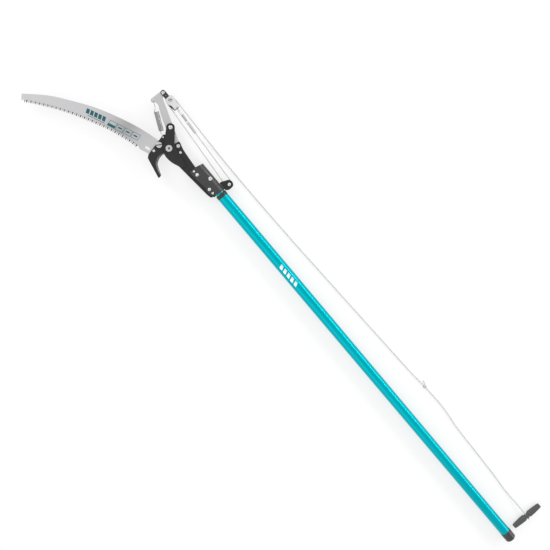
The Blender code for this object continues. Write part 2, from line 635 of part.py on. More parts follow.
def build_spring(steel):
    where, length = spring_frame()
    per_turn = 9
    hook = [(0, 0, -4.6), (0, 0, 1.8), (0.8, 0, 3.2), (2.4, 0, 3.6), (6.0, 0, 2.6), (11.0, 0, 0.4)]
    total = COIL_TURNS * per_turn
    coil = []
    for k in range(total + 1):
        turn = 2 * math.pi * k / per_turn
        radius = SPRING_R * min(1.0, 0.35 + k / per_turn * 0.65)
        x = COIL_FROM + (COIL_TO - COIL_FROM) * k / total
        coil.append((x, radius * math.cos(turn), radius * math.sin(turn)))
    wire("return_spring", [where @ Vector(p) for p in hook + coil], SPRING_WIRE_R, "spring", steel)
    top = COIL_TO + 3.4
    hook = [(top, 4.6, 0.0), (top + 1.0, 4.0, 2.6), (top + 2.6, 1.6, 3.4), (top + 5.0, 0, 1.6),
            (top + 8.0, 0, 0.2), (length - 9.0, 0, 0.4), (length - 5.0, 0, 0.6), (length - 1.2, 0, 0.4),
            (length - 0.1, 0, -0.8), (length, 0, -2.4), (length, 0, -6.4)]
    wire("spring_hook", [where @ Vector(p) for p in hook], SPRING_WIRE_R, "spring_hook", steel)


# ---------------------------------------------------------------- rope and T-handle

def arc_points(centre, radius, start, stop, z, count):
    turns = [math.radians(start + (stop - start) * k / count) for k in range(count + 1)]
    return [Vector((centre[0] + radius * math.cos(t), centre[1] + radius * math.sin(t), z)) for t in turns]


def build_rope(white):
    """The rope: two lines between the blocks, the turn over the top sheave, and the line to the handle."""
    becket_end = flat(BECKET, TOP_PLANE_Z) + Vector((1.6 + GAP + 0.4, 0, 0))
    round_lower = arc_points(LOWER_SHEAVE, LOWER_ROPE_R, 86, -94.5, LOWER_PLANE_Z, 10)
    up = flat(TOP_SHEAVE, TOP_PLANE_Z) + Vector((0.2, -TOP_ROPE_R, 0))
    down_line = spaced([becket_end, round_lower[0]], 40)
    up_line = spaced([round_lower[-1], up], 40)
    wire("tackle_rope", down_line + round_lower[1:-1] + up_line, ROPE_R, "tackle", white, 2)

    over = arc_points(TOP_SHEAVE, TOP_ROPE_R, 267 - 2.5, 90 + 2.5, TOP_PLANE_Z, 10)
    wire("rope_top_turn", over, ROPE_R, "block", white, 2)

    line = (down_line[-1] - down_line[0]).normalized()
    turn = Vector((0, 0, 1)).rotation_difference(line).to_matrix().to_4x4()
    sleeve = [(ROPE_R + GAP, 8.0), (3.6, 8.0), (3.6, 79.0), (ROPE_R + GAP, 79.0)]
    place("rope_sleeve", turned(sleeve, 16, hollow=True, where=Matrix.Translation(becket_end) @ turn),
          "tackle", white)

    route = curve_through(PULL_ROUTE, 8)
    wire("pull_rope", spaced(route, 26.0), ROPE_R, "haul", white, 2)


def build_handle(grey, white):
    half = HANDLE_LENGTH / 2
    rise = [(0.0, -half), (4.6, -half), (6.3, -half + 1.8), (7.7, -half + 12), (8.9, -half + 26),
            (9.5, -half + 36), (9.1, -half + 41), (7.2, -half + 43.5), (6.9, -3.0)]
    profile = rise + [(r, -h) for r, h in reversed(rise)]
    where = Matrix.Translation(HANDLE) @ ALONG_Y
    handle = place("pull_handle", turned(profile, 20, where=where), "handle", grey)
    bore = turned([(0.0, -15.0), (HANDLE_BORE_R, -15.0), (HANDLE_BORE_R, 15.0), (0.0, 15.0)], 12,
                  where=Matrix.Translation(HANDLE) @ Matrix.Rotation(math.radians(90), 4, "Y"))
    cut(handle, bore, "handle")
    knot_r = 4.2
    knot = bmesh.new()
    bmesh.ops.create_icosphere(knot, subdivisions=2, radius=knot_r)
    knot.transform(Matrix.Translation(HANDLE + Vector((6.9 + GAP + knot_r, 0, 0))))
    place("stop_knot", knot, "handle", white)


# ---------------------------------------------------------------- assembly

def main():
    clear_scene()
    teal = material("teal_paint", (0.0, 0.42, 0.48), 0.22)
    black = material("black_steel", (0.035, 0.035, 0.037), 0.38, 0.3)
    grey = material("dark_plastic", (0.05, 0.05, 0.052), 0.55)
    nylon = material("nylon", (0.75, 0.74, 0.7), 0.5)
    saw_steel = material("saw_steel", (0.52, 0.52, 0.53), 0.32, 0.9)
    lever_steel = material("lever_steel", (0.55, 0.56, 0.57), 0.4, 0.8)
    bright = material("bright_steel", (0.78, 0.79, 0.8), 0.22, 1.0)
    zinc = material("zinc", (0.62, 0.63, 0.64), 0.35, 0.9)
    white = material("block_white", (0.8, 0.8, 0.79), 0.35)
    rope = material("rope_white", (0.85, 0.85, 0.84), 0.8)
    spring_steel = material("spring_steel", (0.4, 0.41, 0.42), 0.35, 0.9)

    body("pole")
    body("lock", (INNER_FOOT_X + 24, 0, AXIS_Z), "pole")
    body("head", (0, 0, AXIS_Z), "lock")
    body("lever", flat(LEVER_PIVOT, LEVER_Z[0]), "head")
    body("blade", flat(BLADE_PIVOT, BLADE_Z[0]), "head")
    body("block", flat(CLEVIS, TOP_PLANE_Z), "lever")
    body("top_sheave", flat(TOP_SHEAVE, TOP_PLANE_Z), "block")
    body("lower_sheave", flat(LOWER_SHEAVE, LOWER_PLANE_Z), "head")
    body("spring", flat(SPRING_ON_PLATE, SPRING_Z), "head")
    body("spring_hook", flat(SPRING_ON_PLATE, SPRING_Z), "spring")
    body("tackle", flat(LOWER_SHEAVE, LOWER_PLANE_Z), "head")
    body("haul", flat(TOP_SHEAVE, TOP_PLANE_Z), "block")
    body("handle", HANDLE, "haul")

    build_pole(teal, black, grey, nylon)
    build_bracket(black)
    build_hook_plate(black)
    build_saw(saw_steel)
    build_cutting_blade(black)
    build_lever(lever_steel)
    build_fasteners(bright, zinc)
    build_top_block(white, black, bright)
    build_lower_sheave(black, white, bright)
    build_spring(spring_steel)
    build_rope(rope)
    build_handle(grey, rope)


main()
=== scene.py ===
import math

import bmesh
import bpy
from mathutils import Matrix, Vector


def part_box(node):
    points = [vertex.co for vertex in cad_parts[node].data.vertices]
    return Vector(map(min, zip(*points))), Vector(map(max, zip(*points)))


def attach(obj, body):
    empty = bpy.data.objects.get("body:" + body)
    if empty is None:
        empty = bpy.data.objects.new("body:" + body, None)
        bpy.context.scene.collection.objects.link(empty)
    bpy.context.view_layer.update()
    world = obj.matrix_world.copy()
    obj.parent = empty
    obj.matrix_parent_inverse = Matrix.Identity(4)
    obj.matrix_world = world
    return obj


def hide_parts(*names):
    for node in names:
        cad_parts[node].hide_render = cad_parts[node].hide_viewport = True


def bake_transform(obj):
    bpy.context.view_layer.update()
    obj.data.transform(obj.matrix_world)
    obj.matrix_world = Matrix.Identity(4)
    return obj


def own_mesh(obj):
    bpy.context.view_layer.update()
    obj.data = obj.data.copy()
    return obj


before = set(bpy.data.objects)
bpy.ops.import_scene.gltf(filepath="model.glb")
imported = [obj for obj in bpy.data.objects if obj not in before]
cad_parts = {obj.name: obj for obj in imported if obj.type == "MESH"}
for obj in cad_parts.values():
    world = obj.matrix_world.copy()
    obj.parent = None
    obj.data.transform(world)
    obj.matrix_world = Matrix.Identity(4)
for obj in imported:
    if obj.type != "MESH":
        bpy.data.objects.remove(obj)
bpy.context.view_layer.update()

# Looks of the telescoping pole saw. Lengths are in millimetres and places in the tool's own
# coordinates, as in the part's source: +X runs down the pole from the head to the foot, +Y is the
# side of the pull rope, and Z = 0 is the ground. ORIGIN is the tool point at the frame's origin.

MM = 0.001
ORIGIN = Vector((392.5, -52.23, 0.0))
TO_FRAME = Matrix.Scale(MM, 4) @ Matrix.Translation(-ORIGIN)
AXIS_Z = 15.6  # height of the pole's axis
ALONG_POLE = Matrix.Translation((0, 0, AXIS_Z)) @ Matrix.Rotation(math.radians(90), 4, "Y")

# Layers of the head
PLATE_Z = (28.4, 31.4)
LEAF_Z = (31.7, 33.7)
BLADE_Z = (31.7, 34.7)
SAW_Z = (26.6, 28.1)
LEVER_Z = (25.1, 28.1)
BACK_LEAF_Z = (0.8, 2.8)
BRACKET_X = (-104.0, -12.5)
FOLD_Y = -0.8

# Joints of the head
BLADE_PIVOT = Vector((-183.6, -26.3))
LEVER_PIVOT = Vector((-173.2, -4.1))
TAIL_PIN = Vector((-221.2, 11.3))
TAIL_PIN_R = 3.0
CLEVIS = Vector((-298.1, 53.6))
SPRING_ON_LEVER = Vector((-301.0, 22.9))
SPRING_ON_PLATE = Vector((-214.8, -19.5))
TOP_SHEAVE = Vector((-273.7, 55.6))
LOWER_SHEAVE = Vector((-14.0, 33.0))
BECKET = Vector((-251.0, 56.0))
LEVER_TRAVEL = math.radians(80)
BLADE_TRAVEL = math.radians(60)
TOOTH_PITCH = 5.2
TOOTH_DEPTH = 5.0
TOOTH_REACH = 1.3  # how far the tips pass the CAD's
TOOTH_FEET, TOOTH_TIP = (0.04, 0.94), (0.36, 0.62)  # a tooth's corners, as shares of the pitch
TOOTH_EDGE = 0.25  # half the thickness left at the tip
SAW_PAINTED_REFLECTION = (-293.0, 30.0, 0.62)  # a painted darker reflection band on the saw: middle along X, half width, strength

# The plain white mark on the outer tube
MARK_X = (238, 312)
MARK_Y = -2.2
MARK_HALF = 5.2
MARK_SLANT = 0.45
MARK_BARS, MARK_SHARE = 5, 0.62  # and how much of its pitch a bar fills

# The rope's sleeve, along the rope from the becket
SLEEVE_SPAN = (8, 79)
SLEEVE_R = 3.6
SLEEVE_DULL_FROM = 46.0
SLEEVE_TICKS = [22.0 + 3.4 * k for k in range(6)]
SLEEVE_TICK_LENGTH = 1.9

# Rope
ROPE_R = 1.6
BRAID_PITCH = 4.4
BRAID_STRANDS = 4  # in each of the two families
TOP_ROPE_R = 10.8
LOWER_ROPE_R = 8.9
TOP_PLANE_Z = 26.6
LOWER_PLANE_Z = 16.5
HANDLE = Vector((1285.6, 77.9, 9.5))
KNOT = Vector((775.0, 90.0, 3.1))
KNOT_SIZE = 1.35
PULL_ROUTE = [
    (-273.2, 66.4, 26.6), (-255.0, 66.0, 26.3), (-230.0, 65.5, 24.9), (-200.0, 64.9, 20.9),
    (-170.0, 64.3, 14.4), (-143.0, 63.8, 7.6), (-118.0, 63.4, 3.1), (-92.0, 63.0, 1.75),
    (-40.0, 62.6, 1.7), (60.0, 63.3, 1.7), (160.0, 65.3, 1.7), (250.0, 67.7, 1.7),
    (400.0, 73.3, 1.7), (560.0, 79.5, 1.7), (706.0, 85.1, 1.7), (775.0, 90.0, 1.7),
    (830.0, 92.3, 1.7), (874.0, 91.6, 1.7), (937.0, 86.0, 1.7), (1005.0, 84.2, 1.7),
    (1065.0, 82.6, 1.7), (1125.0, 80.8, 1.7), (1176.0, 77.6, 1.75), (1208.0, 77.3, 2.3),
    (1232.0, 77.8, 4.4), (1254.0, 77.9, 7.6), (1270.0, 77.9, 9.3), (1281.5, 77.9, 9.5),
]

# Spring, along the line from the hook plate to the lever
SPRING_Z = 30.0
SPRING_R = 5.75
SPRING_WIRE_R = 0.85
COIL_FROM, COIL_TO = 15.5, 66.0
COIL_TURNS = 26

# Camera, in tool coordinates: where it stands and which way is right, up and back
CAMERA_AT = Vector((-121.0, -28.84, 2033.79))
CAMERA_RIGHT = Vector((0.63585, 0.76292, 0.11677))
CAMERA_UP = Vector((-0.75038, 0.64649, -0.13780))
CAMERA_BACK = Vector((-0.18062, 0.0, 0.98355))
CAMERA_LENS = 50
CAMERA_SENSOR = 36

# Floor, in metres
FLOOR_HALF = 8.0
FLOOR_DROP = 0.0006  # below the pieces that lie on the ground


# ---------------------------------------------------------------- camera, floor and light

def placed(name, data):
    """A new object in the scene that holds the data."""
    thing = bpy.data.objects.new(name, data)
    bpy.context.scene.collection.objects.link(thing)
    return thing


def mesh_of(name, bm):
    mesh = bpy.data.meshes.new(name)
    bm.to_mesh(mesh)
    bm.free()
    return mesh


def place_camera():
    camera = placed("camera", bpy.data.cameras.new("camera"))
    turn = Matrix((CAMERA_RIGHT, CAMERA_UP, CAMERA_BACK)).transposed().to_4x4()
    camera.matrix_world = Matrix.Translation(TO_FRAME @ CAMERA_AT) @ turn
    camera.data.lens = CAMERA_LENS
    camera.data.sensor_width = CAMERA_SENSOR
    bpy.context.scene.camera = camera


def area_light(name, place, target, size, power):
    """A rectangular soft light; place and target are in the frame's metres."""
    light = placed(name, bpy.data.lights.new(name, "AREA"))
    light.data.shape = "RECTANGLE"
    light.data.size, light.data.size_y = size
    light.data.energy = power
    light.location = place
    light.rotation_mode = "QUATERNION"
    light.rotation_quaternion = (Vector(target) - Vector(place)).to_track_quat("-Z", "Y")


def light_studio():
    area_light("key", (0.6, 1.9, 1.0), (0.6, 0.0, 0.0), (4.8, 0.4), 32)
    area_light("fill", (0.2, -1.8, 1.7), (0.0, 0.0, 0.0), (3.4, 2.4), 16)
    area_light("end", (-2.4, -0.2, 1.4), (-0.3, 0.0, 0.0), (1.2, 1.2), 12)
    world = bpy.data.worlds.new("studio")
    bpy.context.scene.world = world
    world.use_nodes = True
    background = world.node_tree.nodes["Background"]
    background.inputs["Color"].default_value = (1.0, 1.0, 1.0, 1.0)
    background.inputs["Strength"].default_value = 0.84
    bpy.context.scene.view_settings.view_transform = "Standard"


def lay_floor(look):
    bm = bmesh.new()
    bmesh.ops.create_grid(bm, x_segments=1, y_segments=1, size=FLOOR_HALF)
    bmesh.ops.translate(bm, verts=bm.verts, vec=(0, 0, -FLOOR_DROP))
    floor = placed("floor", mesh_of("floor", bm))
    floor.data.materials.append(look)


# ---------------------------------------------------------------- looks

class Look:
    """A Principled material, and short ways to vary it with nodes in object coordinates."""

    def __init__(self, name, colour, roughness, metallic=0.0, **sockets):
        self.material = bpy.data.materials.new(name)
        self.material.use_nodes = True
        self.tree = self.material.node_tree
        self.shader = self.tree.nodes["Principled BSDF"]
        self.set("Base Color", (*colour, 1.0))
        self.set("Roughness", roughness)
        self.set("Metallic", metallic)
        for socket, value in sockets.items():
            self.set(socket.replace("_", " "), value)
        self.material.diffuse_color = (*colour, 1.0)

    def set(self, socket, value):
        self.shader.inputs[socket].default_value = value

    def node(self, kind, **settings):
        made = self.tree.nodes.new(kind)
        for key, value in settings.items():
            setattr(made, key, value)
        return made

    def join(self, source, target):
        self.tree.links.new(source, target)

    def place(self, stretch=(1, 1, 1), turn=0.0):
        """Object coordinates in metres, turned about Z and then stretched."""
        source = self.node("ShaderNodeTexCoord").outputs["Object"]
        if turn:
            rotate = self.node("ShaderNodeVectorRotate", rotation_type="Z_AXIS")
            rotate.inputs["Angle"].default_value = turn
            self.join(source, rotate.inputs["Vector"])
            source = rotate.outputs["Vector"]
        scale = self.node("ShaderNodeVectorMath", operation="MULTIPLY")
        scale.inputs[1].default_value = stretch
        self.join(source, scale.inputs[0])
        return scale.outputs["Vector"]

    def noise(self, scale, stretch=(1, 1, 1), detail=3.0, turn=0.0):
        """Noise from 0 to 1; scale is in features per metre."""
        noise = self.node("ShaderNodeTexNoise")
        noise.inputs["Scale"].default_value = scale
        noise.inputs["Detail"].default_value = detail
        self.join(self.place(stretch, turn), noise.inputs["Vector"])
        return noise.outputs["Fac"]

    def math(self, operation, first, second=None, clamp=False):
        made = self.node("ShaderNodeMath", operation=operation, use_clamp=clamp)
        for socket, value in zip(made.inputs, (first, second)):
            if value is None:
                continue
            if isinstance(value, (int, float)):
                socket.default_value = value
            else:
                self.join(value, socket)
        return made.outputs[0]

    def spread(self, fac, from_low, from_high, to_low, to_high):
        """Maps a number from one range to another, smoothly."""
        made = self.node("ShaderNodeMapRange", interpolation_type="SMOOTHSTEP")
        for slot, value in zip(range(1, 5), (from_low, from_high, to_low, to_high)):
            made.inputs[slot].default_value = value
        self.join(fac, made.inputs[0])
        return made.outputs[0]

    def split(self, source):
        """The x, y and z of a vector."""
        made = self.node("ShaderNodeSeparateXYZ")
        self.join(source, made.inputs[0])
        return made.outputs

    def between(self, value, low, high):
        """1 where a value lies between two numbers, and 0 elsewhere."""
        above = self.math("GREATER_THAN", value, low)
        return self.math("MULTIPLY", above, self.math("LESS_THAN", value, high))

    def rough(self, fac, low, high):
        self.join(self.spread(fac, 0.3, 0.7, low, high), self.shader.inputs["Roughness"])

    def mix(self, fac, first, second):
        """A colour between two; each is a colour or a socket."""
        made = self.node("ShaderNodeMix", data_type="RGBA")
        self.join(fac, made.inputs["Factor"])
        for socket, value in ((made.inputs[6], first), (made.inputs[7], second)):
            if isinstance(value, tuple):
                socket.default_value = (*value, 1.0)
            else:
                self.join(value, socket)
        return made.outputs[2]

    def paint(self, source):
        self.join(source, self.shader.inputs["Base Color"])

    def bump(self, height, distance, strength=1.0):
        """Bump by a height from 0 to 1 times distance, in metres; calls add up."""
        made = self.node("ShaderNodeBump")
        made.inputs["Strength"].default_value = strength
        made.inputs["Distance"].default_value = distance
        self.join(height, made.inputs["Height"])
        normal = self.shader.inputs["Normal"]
        if normal.is_linked:
            self.join(normal.links[0].from_socket, made.inputs["Normal"])
        self.join(made.outputs["Normal"], normal)


def floor_look():
    look = Look("floor_paper", (0.3, 0.3, 0.3), 0.9)
    look.set("Emission Color", (1.0, 1.0, 1.0, 1.0))
    look.set("Emission Strength", 0.64)
    look.bump(look.noise(900, detail=2.0), 0.00002)
    return look.material


def tube_look():
    """Teal lacquer over a metallic ground coat, so that its highlights stay teal."""
    teal = (0.0, 0.385, 0.45)
    look = Look("teal_lacquer", teal, 0.27, 0.7, Specular_IOR_Level=0.1)
    look.paint(look.mix(look.noise(9, (0.4, 1, 1)), teal, (0.0, 0.41, 0.48)))
    look.rough(look.noise(90, (0.04, 1, 1)), 0.25, 0.29)
    look.bump(look.noise(420, (0.35, 1, 1), 2.0), 0.000004)
    return look


def marked_tube_look():
    """The lacquer with the white mark on the outer tube: plain slanted bars, which say nothing."""
    look = tube_look()
    base = look.shader.inputs["Base Color"].links[0].from_socket
    x, y, z = look.split(look.place())
    start, end = ((x_end - ORIGIN.x) * MM for x_end in MARK_X)
    across = look.math("SUBTRACT", y, (MARK_Y - ORIGIN.y) * MM)
    slanted = look.math("ADD", x, look.math("MULTIPLY", across, MARK_SLANT))
    inside = look.between(slanted, start, end)
    band = look.math("LESS_THAN", look.math("ABSOLUTE", across), MARK_HALF * MM)
    upper = look.math("GREATER_THAN", z, AXIS_Z * MM)
    phase = look.math("FRACT", look.math("MULTIPLY", look.math("SUBTRACT", slanted, start),
                                         MARK_BARS / (end - start)))
    bar = look.math("LESS_THAN", phase, MARK_SHARE)
    mask = look.math("MULTIPLY", look.math("MULTIPLY", inside, band), look.math("MULTIPLY", upper, bar))
    look.paint(look.mix(mask, base, (0.86, 0.88, 0.88)))
    return look


def coat_look(name, dark, light, roughness, specular=0.3):
    """Black powder coat: satin, with a fine pebble and slight wear in its tone."""
    look = Look(name, dark, roughness, Specular_IOR_Level=specular)
    look.paint(look.mix(look.noise(60), dark, light))
    look.rough(look.noise(260, detail=4.0), roughness - 0.06, roughness + 0.08)
    look.bump(look.noise(1500, detail=2.0), 0.00003, 0.6)
    return look.material


def ground_look():
    """The ground strip of the hook: a thin coat, so that the grinding marks and bare steel show."""
    look = Look("ground_steel", (0.1, 0.1, 0.1), 0.42, 0.5)
    grain = look.noise(2600, (1, 0.35, 1), 3.0, math.radians(35))
    bare = look.spread(grain, 0.35, 0.7, 0.0, 1.0)
    look.paint(look.mix(bare, (0.05, 0.05, 0.051), (0.24, 0.24, 0.245)))
    look.rough(grain, 0.34, 0.54)
    look.bump(grain, 0.00003)
    return look.material


def brushed_look(name, dark, light, roughness, turn=0.0, metallic=0.9):
    """Steel with fine brushing along its own X once turned, and a faint cloudiness."""
    look = Look(name, light, roughness, metallic)
    grain = look.noise(2600, (0.03, 1, 1), 3.0, turn)
    cloud = look.noise(11, turn=turn, detail=1.0)
    look.paint(look.mix(look.math("MULTIPLY", look.math("ADD", grain, cloud), 0.5), dark, light))
    look.rough(grain, roughness - 0.05, roughness + 0.06)
    look.bump(grain, 0.000004)
    return look


def saw_look():
    """Saw steel with plain teal marks in place of its print: five bars, and a row of slanted boxes."""
    look = brushed_look("saw_steel", (0.57, 0.57, 0.58), (0.67, 0.67, 0.68), 0.36, math.radians(-25))
    base = look.shader.inputs["Base Color"].links[0].from_socket

    def print_frame(corner, lean, slant):
        """Distances along and across a row of print, from its lower left corner."""
        turn = math.radians(-lean)
        zero = Matrix.Rotation(turn, 2) @ ((Vector(corner) - ORIGIN.xy) * MM)
        x, y, _ = look.split(look.place(turn=turn))
        rise = look.math("SUBTRACT", y, zero.y)
        run = look.math("SUBTRACT", x, zero.x)
        return look.math("SUBTRACT", run, look.math("MULTIPLY", rise, slant)), rise

    def panel(row, left, right, low, high):
        """1 within a slanted panel of a row, in millimetres."""
        run, rise = row
        inside = look.between(run, left * MM, right * MM)
        return look.math("MULTIPLY", inside, look.between(rise, low * MM, high * MM))

    bars = print_frame((-383.3, -129.0), 24.5, -0.12)
    printed = panel(bars, 7, 52, -3.4, -2.0)
    for k in range(5):
        printed = look.math("ADD", printed, panel(bars, 10.8 * k, 8.4 + 10.8 * k, 0.6, 12.8))
    boxes = print_frame((-327.6, -108.3), 23.2, 0.18)
    for k in range(4):
        left, right = 21.3 * k, 20.3 + 21.3 * k
        outer, inner = panel(boxes, left, right, 0, 15.8), panel(boxes, left + 1, right - 1, 1, 14.8)
        mark = panel(boxes, left, right, 0, 7.0) if k == 0 else panel(boxes, left + 5, right - 5, 6, 9.8)
        outline = look.math("ADD", look.math("SUBTRACT", outer, inner), mark, True)
        printed = look.math("ADD", printed, outline)
    x, _, z = look.split(look.place())
    on_top = look.math("GREATER_THAN", z, (SAW_Z[1] - 0.2) * MM)
    mask = look.math("MULTIPLY", look.math("MINIMUM", printed, 1.0), on_top)
    # A painted reflection: the steel darkens in a soft band across the blade, around a place along X.
    shade_x, half_width, strength = SAW_PAINTED_REFLECTION
    span = look.math("MULTIPLY", look.math("SUBTRACT", x, (shade_x - ORIGIN.x) * MM), 1000 / half_width)
    shade = look.math("DIVIDE", strength, look.math("ADD", 1.0, look.math("MULTIPLY", span, span)))
    steel = look.mix(shade, base, (0.3, 0.3, 0.305))
    look.paint(look.mix(mask, steel, (0.0, 0.085, 0.1)))
    look.join(look.math("SUBTRACT", 0.9, look.math("MULTIPLY", mask, 0.85)), look.shader.inputs["Metallic"])
    return look.material


def rope_look(name, dark, light):
    """White braid: two families of strands that cross over each other, from the rope's own UV map, with
    painted shade in the grooves between them.
    """
    look = Look(name, light, 0.7, Sheen_Weight=0.2)
    u, v, _ = look.split(look.node("ShaderNodeTexCoord").outputs["UV"])
    along = look.math("MULTIPLY", u, 1000 / BRAID_PITCH)
    around = look.math("MULTIPLY", v, BRAID_STRANDS)
    waves = []
    for sense in (1, -1):
        turn = look.math("ADD", along, look.math("MULTIPLY", around, sense))
        waves.append(look.math("SINE", look.math("MULTIPLY", turn, 2 * math.pi)))
    over = look.math("MAXIMUM", *waves)
    height = look.spread(over, -0.3, 0.9, 0.0, 1.0)
    # The grooves between the strands are painted darker: painted shade, and the same height drives the bump.
    look.paint(look.mix(height, dark, light))
    look.bump(height, 0.00025)
    return look.material


def plastic_look(name, colour, lighter, roughness, depth=0.00003):
    """Moulded plastic with a fine texture and a little unevenness in tone."""
    look = Look(name, colour, roughness)
    look.paint(look.mix(look.noise(35), colour, lighter))
    look.rough(look.noise(150), roughness - 0.06, roughness + 0.08)
    look.bump(look.noise(700, detail=2.0), depth, 0.7)
    return look.material


def bright_look():
    """Nickel-bright rivets and bolts, faintly scuffed."""
    look = Look("bright_nickel", (0.62, 0.62, 0.63), 0.22, 0.95)
    look.paint(look.mix(look.noise(600), (0.56, 0.56, 0.57), (0.68, 0.68, 0.69)))
    look.rough(look.noise(900), 0.18, 0.3)
    look.bump(look.noise(1200, detail=2.0), 0.000006)
    return look.material


# ---------------------------------------------------------------- meshes

def flat(v, z=0.0):
    return Vector((v[0], v[1], z))


def face_out(bm):
    bmesh.ops.recalc_face_normals(bm, faces=bm.faces)
    if bm.calc_volume(signed=True) < 0:
        bmesh.ops.reverse_faces(bm, faces=bm.faces)


def solid(name, bm, body, looks, replaces=(), sharp=32):
    """Makes a bmesh in tool millimetres into a piece, which rides on the body if one is given."""
    face_out(bm)
    bm.transform(TO_FRAME)
    piece = placed(name, mesh_of(name, bm))
    piece.data.shade_smooth()
    piece.data.set_sharp_from_angle(angle=math.radians(sharp))
    for look in looks:
        piece.data.materials.append(look)
    if body:
        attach(piece, body)
    if replaces:
        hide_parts(*replaces)
    return piece


def carve(bm, *cutters):
    """The bmesh with each cutter taken away, by exact Booleans."""
    objects = []
    for part in (bm, *cutters):
        face_out(part)
        objects.append(placed("carving", mesh_of("carving", part)))
    for cutter in objects[1:]:
        boolean = objects[0].modifiers.new("Cut", "BOOLEAN")
        boolean.object = cutter
        boolean.solver = "EXACT"
    graph = bpy.context.evaluated_depsgraph_get()
    result = bmesh.new()
    evaluated = objects[0].evaluated_get(graph)
    result.from_mesh(evaluated.to_mesh())
    evaluated.to_mesh_clear()
    for thing in objects:
        mesh = thing.data
        bpy.data.objects.remove(thing, do_unlink=True)
        bpy.data.meshes.remove(mesh)
    return result


def rounded(corners, step=7):
    """A closed outline of (point, ground width) from (x, y, radius, ground width) corners."""
    outline = []
    count = len(corners)
    for i, corner in enumerate(corners):
        x, y, radius = corner[:3]
        ground = corner[3] if len(corner) > 3 else 0.0
        here = Vector((x, y))
        back = (Vector(corners[i - 1][:2]) - here).normalized()
        ahead = (Vector(corners[(i + 1) % count][:2]) - here).normalized()
        half = back.angle(ahead) / 2
        if radius <= 0 or half > math.radians(89):
            outline.append((here, ground))
            continue
        centre = here + (back + ahead).normalized() * radius / math.sin(half)
        start = here + back * radius / math.tan(half) - centre
        turn = math.pi - 2 * half
        if start.x * back.y - start.y * back.x > 0:
            turn = -turn
        parts = max(2, math.ceil(abs(math.degrees(turn)) / step))
        for k in range(parts + 1):
            outline.append((centre + Matrix.Rotation(turn * k / parts, 2) @ start, ground))
    return outline


def curve_through(points, per_span=4):
    """Points along a smooth Catmull-Rom curve through the given ones, ends included."""
    points = [Vector(p) for p in points]
    ends = [2 * points[0] - points[1]] + points + [2 * points[-1] - points[-2]]
    smooth = []
    for a, b, c, d in zip(ends, ends[1:], ends[2:], ends[3:]):
        for k in range(per_span):
            t = k / per_span
            smooth.append(
                0.5 * (2 * b + (c - a) * t + (2 * a - 5 * b + 4 * c - d) * t ** 2
                       + (3 * b - a - 3 * c + d) * t ** 3))
    return smooth + [points[-1]]


def spaced(points, spacing):
    """The same route with a point about every spacing millimetres."""
    lengths = [0.0]
    for a, b in zip(points, points[1:]):
        lengths.append(lengths[-1] + (b - a).length)
    parts = max(1, round(lengths[-1] / spacing))
    even, at = [], 0
    for k in range(parts + 1):
        want = lengths[-1] * k / parts
        while at < len(points) - 2 and lengths[at + 1] < want:
            at += 1
        share = (want - lengths[at]) / (lengths[at + 1] - lengths[at])
        even.append(points[at].lerp(points[at + 1], share))
    return even


def inward(points):
    """Unit vectors that point into a closed outline, one at each of its points."""
    area = sum(a.x * b.y - b.x * a.y for a, b in zip(points, points[1:] + points[:1]))
    sense = 1 if area > 0 else -1
    vectors = []
    for i, here in enumerate(points):
        along = points[(i + 1) % len(points)] - points[i - 1]
        vectors.append(Vector((-along.y, along.x)).normalized() * sense)
    return vectors


def plate(outline, low, high, chamfer=0.3):
    """A plate from (point, ground width) pairs: its edges are chamfered, and where a ground width is
    given the top is ground away over that width, nearly to the back. Ground faces use material 1."""
    points = [p for p, _ in outline]
    widths = [w for _, w in outline]
    into = inward(points)
    thick = high - low
    rings = [
        [(p + n * chamfer, low) for p, n in zip(points, into)],
        [(p, low + chamfer) for p in points],
        [(p, high - (thick * 0.72 if w else chamfer)) for p, w in zip(points, widths)],
        [(p + n * max(chamfer, w), high) for p, n, w in zip(points, into, widths)],
    ]
    bm = bmesh.new()
    rows = [[bm.verts.new(flat(p, z)) for p, z in ring] for ring in rings]
    count = len(points)
    for level, (lower, upper) in enumerate(zip(rows, rows[1:])):
        for i in range(count):
            j = (i + 1) % count
            face = bm.faces.new((lower[i], lower[j], upper[j], upper[i]))
            ground = widths[i] > 0 and widths[j] > 0
            face.material_index = int(ground and level == 2)
    bm.faces.new(rows[0])
    bm.faces.new(rows[-1])
    return bm


def extrude(bm, corners, move):
    """Adds the solid that a face with these corners sweeps as it moves."""
    base = bm.faces.new([bm.verts.new(corner) for corner in corners])
    grown = bmesh.ops.extrude_face_region(bm, geom=[base])["geom"]
    moved = [g for g in grown if isinstance(g, bmesh.types.BMVert)]
    bmesh.ops.translate(bm, verts=moved, vec=move)


def prism(points, low, high, bm=None):
    bm = bm or bmesh.new()
    extrude(bm, [flat(p, low) for p in points], (0, 0, high - low))
    return bm


def soften_edges(piece, width, sharper_than):
    bevel = piece.modifiers.new("Edges", "BEVEL")
    bevel.width = width * MM
    bevel.segments = 2
    bevel.limit_method = "ANGLE"
    bevel.angle_limit = math.radians(sharper_than)


def round_at(centre, radius, turns):
    """Points of a circle, at these angles."""
    return [(centre[0] + radius * math.cos(t), centre[1] + radius * math.sin(t)) for t in turns]


def circle(centre, radius, count=32, start=0.0):
    return round_at(centre, radius, [start + 2 * math.pi * k / count for k in range(count)])


def oblong(left, low, right, high, radius=0.0):
    """A rectangle, with round corners if a radius is given."""
    corners = ((left, low), (right, low), (right, high), (left, high))
    return [p for p, _ in rounded([(*corner, radius) for corner in corners], 30)]


def drills(holes):
    """Round cutters along Z, one for each (centre, radius, low, high)."""
    bm = bmesh.new()
    for centre, radius, low, high in holes:
        prism(circle(centre, radius), low, high, bm)
    return bm


